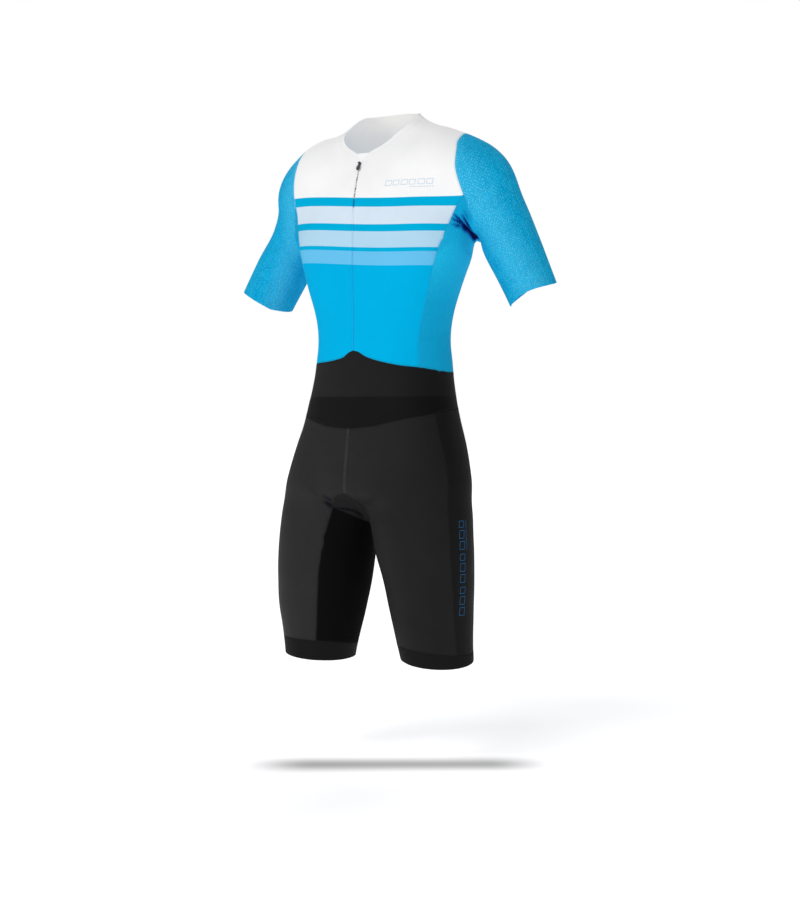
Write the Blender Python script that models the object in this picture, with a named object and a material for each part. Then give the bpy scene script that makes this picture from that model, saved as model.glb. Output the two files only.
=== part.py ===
"""Triathlon suit with short sleeves and short legs, in the form it has when it is worn.

The cloth follows a general figure, which is a smooth blend of a trunk, two upper arms and two
thighs, and is not an object itself. Every seam is a line on that figure. A cloth panel is a grid
of points spread between its four border lines and settled onto the figure, with a second layer
one cloth thickness further in.

Metres, +Z up. +X is the wearer's left and -Y is the front. The origin is where the wearer holds
the suit up: the middle of the neck base, level with the high points of the shoulders.
"""
import math

import bmesh
import bpy
import numpy as np
from mathutils import Matrix, Vector

# ---- driving dimensions --------------------------------------------------------------------
CLOTH = 0.0012            # thickness of the cloth panels
BAND_CLOTH = 0.0015       # thickness of the leg bands
TAPE_CLOTH = 0.0010       # thickness of the zip tape and of the guard behind the zip
SEAM_GAP = 0.0003         # between neighbouring pieces

ZIP_SLOT = 0.0030         # between the two front edges
ZIP_CHAIN_WIDTH = 0.0024
ZIP_CHAIN_PROUD = 0.0002  # how far the chain stands out of the cloth
ZIP_TAPE_REACH = 0.0105   # how far the tape runs behind each front
GUARD_REACH = 0.0050      # how far the guard runs behind each edge of the opened zip
ZIP_TOP = -0.091          # height at which the slider closes the fronts
OPENING_TOP = -0.0705     # height of the fronts' corners at the neck edge
OPENING_ANGLE = 11.5      # degrees from the centre front to those corners, seen from above

NECK_MIDDLE_Y = 0.006
ARMHOLE_MIDDLE_Y = 0.020
ARMHOLE_MIDDLE_Z = -0.150
ARMHOLE_FRONT = 97        # degrees round the armhole at which the front side seam meets it
ARMHOLE_BACK = 215        # the same for the back side seam
SHOULDER_SEAM_NECK = 98   # degrees round the neck at which the shoulder seam starts

WAIST_SIDE_FRONT = 64.7   # degrees round the trunk of the side seams at the waist seam
WAIST_SIDE_BACK = 118
OUTSEAM_TOP = 75.2        # degrees round the trunk of the shorts' outer seam at its top

GUSSET_FRONT_TOP = -0.686
GUSSET_BACK_TOP = -0.684
GUSSET_ROUNDING = 0.7     # share of its half width over which its ends are drawn as an arc

# Number of grid steps along each stretch of a border, shared by the pieces that meet there.
CENTRE_FRONT_STEPS = 11
OPENING_STEPS = 2
NECK_STEPS = 5
FRONT_STEPS = 6
BACK_NECK_STEPS = 8
ARMHOLE_FRONT_STEPS = 7
ARMHOLE_UNDER_STEPS = 6
ARMHOLE_BACK_STEPS = 7
SLEEVE_STEPS = 11
WAIST_STEPS = 4
BACK_STEPS = 2 * FRONT_STEPS + BACK_NECK_STEPS
SHORT_FRONT_STEPS = 9
SHORT_BACK_STEPS = 13     # with those of the shorts' front, as many as half round the top's edge
WAIST_BACK_STEPS = 6      # half round the waist's back piece
SEAT_STEPS = 4            # centre seam of the shorts
GUSSET_END_STEPS = 3
GUSSET_SIDE_STEPS = 5
INSEAM_STEPS = 9
BAND_STEPS = 2
EVENING_ROUNDS = 25       # of moving each grid point to the middle of its neighbours

LEFT, RIGHT = 1, -1
SIDES = (("left", LEFT), ("right", RIGHT))


class Table:
    """Rows of sizes with named columns, read off between the rows by a smooth curve."""

    def __init__(self, columns, rows):
        self.names = columns.split()
        values = np.array(sorted(rows), float)
        self.key, self.values = values[:, 0], values[:, 1:]
        self.slopes = np.gradient(self.values, self.key, axis=0)

    def at(self, key):
        """The columns after the first, as an array with one more axis than key."""
        key = np.clip(np.asarray(key, float), self.key[0], self.key[-1])
        row = np.clip(np.searchsorted(self.key, key, side="right") - 1, 0, len(self.key) - 2)
        step = (self.key[row + 1] - self.key[row])[..., None]
        t = (key - self.key[row])[..., None] / step
        before, after = self.values[row], self.values[row + 1]
        leave, arrive = step * self.slopes[row], step * self.slopes[row + 1]
        rise = 3 * t**2 - 2 * t**3
        return (before + (after - before) * rise
                + leave * (t - 2 * t**2 + t**3) + arrive * (t**3 - t**2))

    def column(self, name, key):
        return self.at(key)[..., self.names.index(name) - 1]


# ---- the figure ----------------------------------------------------------------------------
TRUNK = Table("height half_width front_depth back_depth middle_x middle_y squareness", [
    (0.034, 0.030, 0.028, 0.030, 0.004, 0.006, 2.0),
    (0.015, 0.055, 0.044, 0.051, 0.005, 0.006, 2.0),
    (0.000, 0.064, 0.050, 0.058, 0.008, 0.006, 2.0),
    (-0.022, 0.100, 0.054, 0.072, 0.012, 0.006, 2.0),
    (-0.045, 0.157, 0.062, 0.086, -0.003, 0.006, 2.1),
    (-0.080, 0.182, 0.080, 0.104, 0.000, 0.008, 2.2),
    (-0.150, 0.181, 0.102, 0.110, 0.000, 0.008, 2.3),
    (-0.200, 0.181, 0.106, 0.112, 0.000, 0.006, 2.3),
    (-0.228, 0.180, 0.105, 0.111, 0.000, 0.0045, 2.3),
    (-0.250, 0.1735, 0.104, 0.110, 0.000, 0.003, 2.3),
    (-0.310, 0.154, 0.100, 0.102, 0.000, -0.001, 2.2),
    (-0.370, 0.135, 0.100, 0.097, 0.000, 0.000, 2.1),
    (-0.410, 0.130, 0.100, 0.097, 0.000, 0.000, 2.1),
    (-0.445, 0.134, 0.099, 0.099, 0.000, -0.001, 2.1),
    (-0.490, 0.1405, 0.099, 0.103, 0.001, -0.006, 2.1),
    (-0.540, 0.151, 0.099, 0.106, 0.002, -0.012, 2.2),
    (-0.580, 0.158, 0.101, 0.113, 0.003, -0.014, 2.3),
    (-0.630, 0.1615, 0.105, 0.115, 0.004, -0.017, 2.3),
    (-0.670, 0.164, 0.104, 0.104, 0.003, -0.020, 2.3),
    (-0.698, 0.154, 0.090, 0.084, 0.002, -0.022, 2.2),
    (-0.712, 0.110, 0.056, 0.050, 0.000, -0.024, 2.0),
])
# The upper arms and the thighs: points down the middle, each with the radius there. Those of
# the right side are given as mirrored onto the left. The left arm and leg are held further
# forward than the right ones, and the cloth sits closer on the left leg.
ARM = {
    LEFT: Table("height x y radius", [
        (-0.100, 0.117, 0.010, 0.0750),
        (-0.120, 0.168, 0.018, 0.0735),
        (-0.165, 0.202, 0.029, 0.0645),
        (-0.205, 0.230, 0.034, 0.0557),
        (-0.270, 0.2685, 0.030, 0.0495),
        (-0.333, 0.304, 0.023, 0.0455),
        (-0.395, 0.336, 0.016, 0.043),
    ]),
    RIGHT: Table("height x y radius", [
        (-0.100, 0.113, 0.011, 0.0755),
        (-0.120, 0.163, 0.020, 0.0715),
        (-0.165, 0.196, 0.032, 0.0615),
        (-0.205, 0.2235, 0.037, 0.0530),
        (-0.270, 0.264, 0.031, 0.0520),
        (-0.333, 0.299, 0.023, 0.0495),
        (-0.395, 0.331, 0.016, 0.047),
    ]),
}
THIGH = {
    LEFT: Table("height x y radius", [
        (-0.660, 0.088, -0.026, 0.088),
        (-0.705, 0.098, -0.028, 0.093),
        (-0.760, 0.1055, -0.030, 0.0915),
        (-0.828, 0.1165, -0.029, 0.0835),
        (-0.885, 0.122, -0.027, 0.077),
        (-0.945, 0.127, -0.024, 0.0697),
        (-0.990, 0.132, -0.021, 0.065),
        (-1.050, 0.138, -0.018, 0.061),
    ]),
    RIGHT: Table("height x y radius", [
        (-0.660, 0.085, -0.026, 0.084),
        (-0.705, 0.0955, -0.028, 0.091),
        (-0.760, 0.105, -0.030, 0.0915),
        (-0.828, 0.1135, -0.029, 0.0900),
        (-0.885, 0.121, -0.027, 0.084),
        (-0.945, 0.127, -0.024, 0.073),
        (-0.990, 0.132, -0.021, 0.0665),
        (-1.050, 0.138, -0.018, 0.062),
    ]),
}
LIMB_SECTIONS = 24
# How far the rounding between trunk and arm reaches: least in the raised left arm's armpit.
ARM_BLEND = Table("height left_reach right_reach", [
    (0.000, 0.016, 0.016),
    (-0.040, 0.020, 0.020),
    (-0.070, 0.038, 0.038),
    (-0.110, 0.045, 0.045),
    (-0.150, 0.040, 0.046),
    (-0.190, 0.020, 0.044),
    (-0.220, 0.008, 0.040),
    (-0.260, 0.006, 0.034),
])
THIGH_BLEND = 0.045
CROTCH_BLEND = 0.020
LONGEST_STEP = 0.020      # in one round of settling a point onto the figure

# ---- seams and edges -----------------------------------------------------------------------
# The neck edge, by degrees from the centre front seen from above.
NECK_EDGE = Table("angle left_height right_height", [
    (OPENING_ANGLE, OPENING_TOP, OPENING_TOP),
    (22, -0.0650, -0.0645),
    (33, -0.0560, -0.0545),
    (45, -0.0420, -0.0395),
    (58, -0.0270, -0.0230),
    (72, -0.0120, -0.0070),
    (90, 0.0010, 0.0040),
    (130, 0.0115, 0.0120),
    (180, 0.0165, 0.0165),
])
# The armhole seam, by degrees from its top towards the front: how far out it lies. The right
# sleeve is set a little further in, because that arm is held further back.
ARMHOLE = Table("angle left_x right_x", [
    (0, 0.172, 0.163),
    (15, 0.1745, 0.161),
    (32, 0.181, 0.161),
    (50, 0.187, 0.163),
    (65, 0.190, 0.1645),
    (80, 0.196, 0.165),
    (97, 0.2005, 0.163),
    (112, 0.2005, 0.170),
    (132, 0.205, 0.182),
    (152, 0.2065, 0.192),
    (168, 0.202, 0.194),
    (180, 0.193, 0.191),
    (200, 0.187, 0.186),
    (230, 0.180, 0.178),
    (260, 0.176, 0.172),
    (290, 0.174, 0.168),
    (320, 0.172, 0.165),
    (345, 0.171, 0.163),
    (360, 0.172, 0.163),
])
# The seam between front and side panel, in degrees round the trunk.
SIDE_SEAM = Table("height left_angle right_angle", [
    (-0.195, 75.5, 70.0),
    (-0.220, 73.0, 69.0),
    (-0.250, 70.0, 68.0),
    (-0.280, 69.0, 68.0),
    (-0.340, 68.6, 68.6),
    (-0.370, 67.2, 67.2),
    (-0.400, 65.6, 65.6),
    (-0.430, 64.6, 64.6),
])
# The seam between side panel and back, in degrees round the trunk.
BACK_SEAM = Table("height angle", [
    (-0.290, 109.0),
    (-0.320, 112.0),
    (-0.370, 116.0),
    (-0.430, 118.0),
])
# The seam between the coloured top and the black waist, which peaks under the zip.
WAIST_SEAM = Table("angle left_height right_height", [
    (0, -0.4300, -0.4300),
    (4, -0.4302, -0.4310),
    (10.5, -0.4365, -0.4400),
    (17, -0.4420, -0.4435),
    (30, -0.4495, -0.4478),
    (53, -0.4585, -0.4508),
    (66, -0.4615, -0.4540),
    (80, -0.4670, -0.4600),
    (110, -0.4692, -0.4680),
    (180, -0.4700, -0.4700),
])
# The seam between the waist and the shorts, which dips at the front.
SHORTS_SEAM = Table("angle height", [
    (0, -0.5710),
    (25, -0.5670),
    (41, -0.5605),
    (56, -0.5520),
    (72, -0.5455),
    (83, -0.5400),
    (92, -0.5370),
    (130, -0.5310),
    (180, -0.5280),
])
# The shorts' outer seam, in degrees round the thigh from the front towards the outside.
OUTSEAM = Table("height angle", [
    (-0.600, 68.0),
    (-0.650, 69.0),
    (-0.700, 65.5),
    (-0.800, 64.0),
    (-0.900, 65.0),
    (-0.960, 66.5),
])
# The seams on both sides of the inner-leg panel, in degrees round the thigh.
INSEAMS = Table("height left_front right_front back", [
    (-0.740, -48.0, -34.0, -145.0),
    (-0.770, -47.0, -30.5, -146.0),
    (-0.820, -46.0, -28.5, -147.0),
    (-0.900, -46.0, -29.5, -147.0),
    (-0.960, -46.0, -29.0, -147.0),
])
# The long edges of the crotch gusset, in degrees round the thigh.
GUSSET_EDGE = {
    LEFT: Table("angle height", [
        (-145, -0.714),
        (-120, -0.738),
        (-90, -0.745),
        (-75, -0.739),
        (-62, -0.730),
        (-52, -0.7215),
    ]),
    RIGHT: Table("angle height", [
        (-145, -0.714),
        (-120, -0.738),
        (-90, -0.745),
        (-75, -0.739),
        (-57, -0.7265),
        (-47, -0.7195),
        (-36, -0.713),
    ]),
}
# The cut of each hem and cuff, and the seam on top of each leg band: height at the middle of the
# limb, and the rise outwards and backwards.
HEMS = {LEFT: (-0.9855, -0.118, 0.130), RIGHT: (-0.9933, 0.094, 0.061)}
BAND_TOPS = {LEFT: (-0.9655, -0.118, -0.020), RIGHT: (-0.9676, 0.028, -0.102)}
CUFFS = {LEFT: (-0.337, 0.50, 0.22), RIGHT: (-0.330, 0.54, -0.19)}
CUFF_LIFT = {LEFT: 0.20, RIGHT: 0.0}   # of its front and back, as a share of the arm's radius


def limb_sections(table):
    heights = np.linspace(table.key[0], table.key[-1], LIMB_SECTIONS)
    x, y, radius = np.moveaxis(table.at(heights), -1, 0)
    return np.stack([x, y, heights], -1), radius


ARM_SECTIONS = {side: limb_sections(ARM[side]) for side in ARM}
THIGH_SECTIONS = {side: limb_sections(THIGH[side]) for side in THIGH}


def blend(first, second, reach):
    """The union of two forms, rounded where they meet."""
    overlap = np.clip(reach - np.abs(first - second), 0, None) / reach
    return np.minimum(first, second) - overlap**2 * reach / 4


def limb(points, sections):
    """Distance to a limb: the nearest of its tapered lengths."""
    middles, radii = sections
    nearest = np.full(points.shape[:-1], np.inf)
    for start, end, thick, thin in zip(middles[:-1], middles[1:], radii[:-1], radii[1:]):
        run = end - start
        along = np.clip((points - start) @ run / (run @ run), 0, 1)
        offset = np.linalg.norm(points - start - along[..., None] * run, axis=-1)
        nearest = np.minimum(nearest, offset - thick - (thin - thick) * along)
    return nearest


def trunk(points):
    """Distance to the trunk: a rounded oval at each height."""
    height = points[..., 2]
    width, front, back, middle_x, middle_y, power = np.moveaxis(TRUNK.at(height), -1, 0)
    x, y = points[..., 0] - middle_x, points[..., 1] - middle_y
    depth = np.where(y < 0, front, back)
    ratio = ((np.abs(x) / width)**power + (np.abs(y) / depth)**power + 1e-12)**(1 / power)
    inside = np.hypot(x, y) * (1 - 1 / np.maximum(ratio, 1e-3))
    beyond = np.maximum(height - TRUNK.key[-1], 0) + np.maximum(TRUNK.key[0] - height, 0)
    return np.where(beyond > 0, np.maximum(inside, 0) + beyond, inside)


def figure(points):
    """Distance to the whole figure, negative inside."""
    mirrored = points * (RIGHT, 1, 1)
    left_reach, right_reach = np.moveaxis(ARM_BLEND.at(points[..., 2]), -1, 0)
    upper = blend(trunk(points), limb(points, ARM_SECTIONS[LEFT]), left_reach)
    upper = blend(upper, limb(mirrored, ARM_SECTIONS[RIGHT]), right_reach)
    thighs = blend(limb(points, THIGH_SECTIONS[LEFT]), limb(mirrored, THIGH_SECTIONS[RIGHT]),
                   CROTCH_BLEND)
    return blend(upper, thighs, THIGH_BLEND)


def slope(points):
    """Direction and steepness in which the distance to the figure grows."""
    probe = 0.0005
    steps = np.eye(3) * probe
    return np.stack([figure(points + s) - figure(points - s) for s in steps], -1) / (2 * probe)


def outward(points):
    grown = slope(points)
    return grown / np.linalg.norm(grown, axis=-1, keepdims=True)


def settle(points, rounds=8):
    """Move points straight to the figure's surface."""
    for _ in range(rounds):
        grown = slope(points)
        step = grown * (figure(points) / np.sum(grown**2, -1))[..., None]
        length = np.linalg.norm(step, axis=-1, keepdims=True)
        points = points - step * np.minimum(1, LONGEST_STEP / np.maximum(length, 1e-9))
    return points


def cast(start, direction, reach=0.30, samples=90):
    """The point where a line from inside the figure comes out of it."""
    start, direction = np.broadcast_arrays(np.asarray(start, float), np.asarray(direction, float))
    far = np.linspace(0, reach, samples)
    values = figure(start[..., None, :] + far[:, None] * direction[..., None, :])
    first_out = np.argmax(values > 0, axis=-1)
    low, high = far[first_out - 1], far[first_out]
    for _ in range(20):
        half = (low + high) / 2
        is_out = figure(start + half[..., None] * direction) > 0
        low, high = np.where(is_out, low, half), np.where(is_out, half, high)
    return start + ((low + high) / 2)[..., None] * direction


def compass(angle):
    """Level direction: 0 degrees is the front, 90 degrees the wearer's left."""
    angle = np.radians(angle)
    return np.stack([np.sin(angle), -np.cos(angle), np.zeros_like(angle)], -1)


def turned_back(angles):
    """Angles round the trunk as 0 to 180 degrees from the front, on either side."""
    return np.abs((np.asarray(angles) + 180) % 360 - 180)


def height_round(table, angles):
    """Height at these angles round the trunk, from a table with its own column for each side."""
    turned = turned_back(angles)
    return np.where(np.sin(np.radians(angles)) < 0,
                    table.column("right_height", turned), table.column("left_height", turned))


def trunk_point(angle, height):
    angle, height = np.broadcast_arrays(np.asarray(angle, float), np.asarray(height, float))
    middle = TRUNK.column("middle_y", height)
    start = np.stack([np.zeros_like(middle), middle, height], -1)
    return cast(start, compass(angle))


def neck_point(angle):
    angle = np.asarray(angle, float)
    height = height_round(NECK_EDGE, angle)
    start = np.stack([np.zeros_like(height), np.full_like(height, NECK_MIDDLE_Y), height], -1)
    return cast(start, compass(angle))


def straight_point(x, height, facing):
    """The point at this x and height on the front (facing -1) or on the back (facing 1)."""
    x, height = np.broadcast_arrays(np.asarray(x, float), np.asarray(height, float))
    start = np.stack([x, np.zeros_like(x), height], -1)
    return cast(start, (0, facing, 0))


def thigh_point(side, angle, height):
    """The point at this angle round the thigh: 0 is the front and 90 the outside."""
    angle, height = np.broadcast_arrays(np.asarray(angle, float), np.asarray(height, float))
    x, y = THIGH[side].column("x", height), THIGH[side].column("y", height)
    return cast(np.stack([side * x, y, height], -1), compass(side * angle))


def armhole_point(side, angle):
    angle = np.asarray(angle, float)
    x = side * ARMHOLE.column("left_x" if side == LEFT else "right_x", angle)
    middle = np.broadcast_arrays(x, ARMHOLE_MIDDLE_Y, ARMHOLE_MIDDLE_Z)
    turn = np.radians(angle)
    direction = np.stack([np.zeros_like(turn), -np.sin(turn), np.cos(turn)], -1)
    return cast(np.stack(middle, -1), direction)


def cut_plane(side, rise_out, rise_back):
    """Outward and forward directions in a plane with these rises across a limb."""
    out = np.array((side, 0, rise_out)) / math.hypot(1, rise_out)
    normal = np.cross(out, (0, 1, rise_back))
    forward = np.cross(out, normal / np.linalg.norm(normal))
    return out, forward * -np.sign(forward[1])


def cuff_point(side, angle):
    """The point on the cuff: 0 degrees is the outside of the arm and 90 its front."""
    height, rise_out, rise_back = CUFFS[side]
    out, forward = cut_plane(side, rise_out, rise_back)
    middle = (side * ARM[side].column("x", height), ARM[side].column("y", height), height)
    turn = np.radians(np.asarray(angle, float))[..., None]
    lift = np.array((0, 0, CUFF_LIFT[side])) * np.sin(turn)**2
    return cast(middle, np.cos(turn) * out + np.sin(turn) * forward + lift)


def cut_height(cuts, side, angle):
    """Height of the hem or of the leg band's top at an angle round the thigh."""
    height, rise_out, rise_back = cuts[side]
    radius = THIGH[side].column("radius", height)
    turn = np.radians(angle)
    return height + radius * (rise_out * np.sin(turn) - rise_back * np.cos(turn))


# ---- border lines --------------------------------------------------------------------------
def along(points, steps):
    """A smooth line through the points, cut into even steps and settled onto the figure."""
    points = np.asarray(points, float)
    lengths = np.concatenate([[0], np.cumsum(np.linalg.norm(np.diff(points, axis=0), axis=-1))])
    line = Table("length x y z", np.column_stack([lengths, points]).tolist())
    return settle(line.at(np.linspace(0, lengths[-1], steps + 1)))


def joined(*lines):
    """Lines one after the other, without the points that they share."""
    return np.concatenate([line if i == 0 else line[1:] for i, line in enumerate(lines)])


def waist_line(start, end, steps):
    angles = np.linspace(start, end, steps + 1)
    return trunk_point(angles, height_round(WAIST_SEAM, angles))


def shorts_line(start, end, steps):
    angles = np.linspace(start, end, steps + 1)
    return trunk_point(angles, SHORTS_SEAM.column("height", turned_back(angles)))


def centre_front(side):
    heights = np.linspace(height_round(WAIST_SEAM, 0.0), ZIP_TOP, CENTRE_FRONT_STEPS + 1)
    return straight_point(side * ZIP_SLOT / 2, heights, -1)


def opened_zip(side):
    """The front's edge from the slider up to the neck edge."""
    corner = neck_point(side * OPENING_ANGLE)
    x = np.linspace(side * ZIP_SLOT / 2, corner[0], OPENING_STEPS + 1)
    heights = np.linspace(ZIP_TOP, corner[2], OPENING_STEPS + 1)
    return straight_point(x, heights, -1)


def neck_line(start, end, steps):
    angles = np.linspace(start, end, 4 * steps + 1)
    return along(neck_point(angles), steps)


def shoulder_line(side):
    """The shoulder seam, from the neck out to the top of the armhole."""
    inner = neck_point(side * SHOULDER_SEAM_NECK)
    outer = armhole_point(side, 0)
    share = np.linspace(0, 1, FRONT_STEPS + 1)[1:-1, None]
    start = inner + (outer - inner) * share
    start[:, 2] = ARMHOLE_MIDDLE_Z
    return np.concatenate([[inner], cast(start, (0, 0, 1)), [outer]])


def armhole_line(side, start, end, steps):
    angles = np.linspace(start, end, 4 * steps + 1)
    return along(armhole_point(side, angles), steps)


def side_seam(side):
    """The seam between front and side panel, from the waist up to the armhole."""
    column = "left_angle" if side == LEFT else "right_angle"
    heights = SIDE_SEAM.key
    middle = trunk_point(side * SIDE_SEAM.column(column, heights), heights)
    foot = waist_line(side * WAIST_SIDE_FRONT, side * WAIST_SIDE_FRONT, 1)[:1]
    return along([*foot, *middle, armhole_point(side, ARMHOLE_FRONT)], CENTRE_FRONT_STEPS)


def back_seam(side):
    """The seam between side panel and back, from the waist up to the armhole."""
    heights = BACK_SEAM.key
    middle = trunk_point(side * BACK_SEAM.column("angle", heights), heights)
    foot = waist_line(side * WAIST_SIDE_BACK, side * WAIST_SIDE_BACK, 1)[:1]
    return along([*foot, *middle, armhole_point(side, ARMHOLE_BACK)], CENTRE_FRONT_STEPS)


def seat_line(facing):
    """The shorts' centre seam, from the gusset up to the waist."""
    bottom = GUSSET_FRONT_TOP if facing < 0 else GUSSET_BACK_TOP
    top = SHORTS_SEAM.column("height", 0.0 if facing < 0 else 180.0)
    return straight_point(0.0, np.linspace(bottom, top, SEAT_STEPS + 1), facing)


def gusset_end(side, facing):
    """Half of the gusset's front or back end, from its corner up to the centre seam."""
    corner = gusset_side(side)[0 if facing < 0 else -1]
    top = GUSSET_FRONT_TOP if facing < 0 else GUSSET_BACK_TOP
    share = np.linspace(GUSSET_ROUNDING, 0, 4)
    arc = straight_point(corner[0] * share, top + (corner[2] - top) * share**2, facing)
    return along([corner, *arc], GUSSET_END_STEPS)


def gusset_side(side):
    """The gusset's long edge, from its front corner to its back corner."""
    edge = GUSSET_EDGE[side]
    angles = np.linspace(edge.key[-1], edge.key[0], 4 * GUSSET_SIDE_STEPS + 1)
    return along(thigh_point(side, angles, edge.column("height", angles)), GUSSET_SIDE_STEPS)


def front_inseam(side):
    return "left_front" if side == LEFT else "right_front"


def inseam(side, column, corner):
    """A seam of the inner-leg panel, from the leg band up to the gusset's corner."""
    heights = INSEAMS.key
    angles = INSEAMS.column(column, heights)
    foot = thigh_point(side, angles[0], cut_height(BAND_TOPS, side, angles[0]))
    return along([foot, *thigh_point(side, angles, heights), corner], INSEAM_STEPS)


def outseam(side):
    heights = OUTSEAM.key
    angles = OUTSEAM.column("angle", heights)
    foot = thigh_point(side, angles[0], cut_height(BAND_TOPS, side, angles[0]))
    top = shorts_line(side * OUTSEAM_TOP, side * OUTSEAM_TOP, 1)[0]
    points = [foot, *thigh_point(side, angles, heights), top]
    return along(points, INSEAM_STEPS + GUSSET_END_STEPS + SEAT_STEPS)


def leg_line(cuts, side, start, end, steps):
    """Part of the hem, or of the seam above the leg band."""
    angles = np.linspace(start, end, steps + 1)
    return thigh_point(side, angles, cut_height(cuts, side, angles))


# ---- grids ---------------------------------------------------------------------------------
def patch(bottom, top, first, last):
    """A grid of points between four lines, with its rows running from bottom to top."""
    across = np.linspace(0, 1, len(bottom))[None, :, None]
    up = np.linspace(0, 1, len(first))[:, None, None]
    by_rows = (1 - up) * bottom[None] + up * top[None]
    by_columns = (1 - across) * first[:, None] + across * last[:, None]
    corners = ((1 - up) * ((1 - across) * bottom[0] + across * bottom[-1])
               + up * ((1 - across) * top[0] + across * top[-1]))
    grid = by_rows + by_columns - corners
    grid[1:-1, 1:-1] = settle(grid[1:-1, 1:-1])
    for _ in range(EVENING_ROUNDS):
        between = (grid[:-2, 1:-1] + grid[2:, 1:-1] + grid[1:-1, :-2] + grid[1:-1, 2:]) / 4
        grid[1:-1, 1:-1] = settle(between, 2)
    return grid


def tube(bottom, top, steps):
    """A closed sleeve of points between two rings whose last point repeats the first."""
    up = np.linspace(0, 1, steps + 1)[:, None, None]
    grid = (1 - up) * bottom[None, :-1] + up * top[None, :-1]
    grid[1:-1] = settle(grid[1:-1])
    for _ in range(EVENING_ROUNDS):
        sides = np.roll(grid, 1, axis=1) + np.roll(grid, -1, axis=1)
        grid[1:-1] = settle((grid[:-2] + grid[2:] + sides[1:-1]) / 4, 2)
    return grid


def pulled_in(edge, neighbour, closed):
    """An edge line moved half a seam gap towards the next line, square to itself."""
    if closed:
        tangent = np.roll(edge, -1, axis=0) - np.roll(edge, 1, axis=0)
    else:
        tangent = np.gradient(edge, axis=0)
    tangent /= np.linalg.norm(tangent, axis=-1, keepdims=True)
    inward = neighbour - edge
    inward -= tangent * np.sum(inward * tangent, -1, keepdims=True)
    return edge + inward / np.linalg.norm(inward, axis=-1, keepdims=True) * SEAM_GAP / 2


def trimmed(grid, closed=False):
    """The grid with half a seam gap taken off along its edges."""
    grid = grid.copy()
    grid[0] = pulled_in(grid[0], grid[1], closed)
    grid[-1] = pulled_in(grid[-1], grid[-2], closed)
    if not closed:
        grid[:, 0] = pulled_in(grid[:, 0], grid[:, 1], False)
        grid[:, -1] = pulled_in(grid[:, -1], grid[:, -2], False)
    return grid


# ---- meshes and objects --------------------------------------------------------------------
def material(name, colour, roughness, metallic=0.0):
    made = bpy.data.materials.new(name)
    made.use_nodes = True
    shader = made.node_tree.nodes["Principled BSDF"]
    shader.inputs["Base Color"].default_value = (*colour, 1.0)
    shader.inputs["Roughness"].default_value = roughness
    shader.inputs["Metallic"].default_value = metallic
    made.diffuse_color = (*colour, 1.0)
    return made


def add_object(name, mesh_maker, finish):
    """An object whose mesh comes out of a bmesh, closed and with its faces pointing out."""
    bmesh.ops.recalc_face_normals(mesh_maker, faces=mesh_maker.faces)
    mesh = bpy.data.meshes.new(name)
    mesh_maker.to_mesh(mesh)
    mesh_maker.free()
    mesh.materials.append(finish)
    made = bpy.data.objects.new(name, mesh)
    bpy.context.scene.collection.objects.link(made)
    return made


def falling_diagonals(grid, columns):
    """Whether each square of the grid follows the figure better with its second diagonal."""
    here, there = np.arange(columns), np.arange(1, columns + 1) % grid.shape[1]
    rising = (grid[:-1, here] + grid[1:, there]) / 2
    falling = (grid[:-1, there] + grid[1:, here]) / 2
    return np.abs(figure(falling)) < np.abs(figure(rising))


def wall(name, grid, finish, thickness=CLOTH, depth=0.0, closed=False):
    """A cloth wall: the grid moved in by depth, and again one thickness further in."""
    normals = outward(grid)
    layers = (grid - normals * depth, grid - normals * (depth + thickness))
    rows, columns = grid.shape[:2]
    maker = bmesh.new()
    outer, inner = [[[maker.verts.new(point) for point in row] for row in layer]
                    for layer in layers]
    spans = [(j, (j + 1) % columns) for j in range(columns if closed else columns - 1)]
    falls = falling_diagonals(grid, len(spans))
    for i in range(rows - 1):
        for j, k in spans:
            square = ((i, j), (i, k), (i + 1, k), (i + 1, j))
            if falls[i, j]:
                square = square[1:] + square[:1]
            for corners in (square[:3], (square[0], *square[2:])):
                maker.faces.new([outer[row][column] for row, column in corners])
                maker.faces.new([inner[row][column] for row, column in corners[::-1]])
    for i in (0, rows - 1):
        for j, k in spans:
            maker.faces.new((outer[i][j], outer[i][k], inner[i][k], inner[i][j]))
    for j in () if closed else (0, columns - 1):
        for i in range(rows - 1):
            maker.faces.new((outer[i][j], outer[i + 1][j], inner[i + 1][j], inner[i][j]))
    made = add_object(name, maker, finish)
    made.data.shade_smooth()
    made.data.set_sharp_from_angle(angle=math.radians(50))
    return made


# ---- the coloured top ----------------------------------------------------------------------
def front_grid(side):
    centre = joined(centre_front(side), opened_zip(side),
                    neck_line(side * OPENING_ANGLE, side * SHOULDER_SEAM_NECK, NECK_STEPS))
    outer = joined(side_seam(side), armhole_line(side, ARMHOLE_FRONT, 0, ARMHOLE_FRONT_STEPS))
    waist = waist_line(0, side * WAIST_SIDE_FRONT, FRONT_STEPS)
    waist[0] = centre[0]
    return trimmed(patch(waist, shoulder_line(side), centre, outer))


def side_grid(side):
    under_arm = armhole_line(side, ARMHOLE_FRONT, ARMHOLE_BACK, ARMHOLE_UNDER_STEPS)
    waist = waist_line(side * WAIST_SIDE_FRONT, side * WAIST_SIDE_BACK, ARMHOLE_UNDER_STEPS)
    return trimmed(patch(waist, under_arm, side_seam(side), back_seam(side)))


def back_grid():
    def edge(side):
        return joined(back_seam(side), armhole_line(side, ARMHOLE_BACK, 360, ARMHOLE_BACK_STEPS))

    neck = neck_line(SHOULDER_SEAM_NECK, 360 - SHOULDER_SEAM_NECK, BACK_NECK_STEPS)
    top = joined(shoulder_line(LEFT)[::-1], neck, shoulder_line(RIGHT))
    waist = waist_line(WAIST_SIDE_BACK, 360 - WAIST_SIDE_BACK, BACK_STEPS)
    return trimmed(patch(waist, top, edge(LEFT), edge(RIGHT)))


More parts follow.
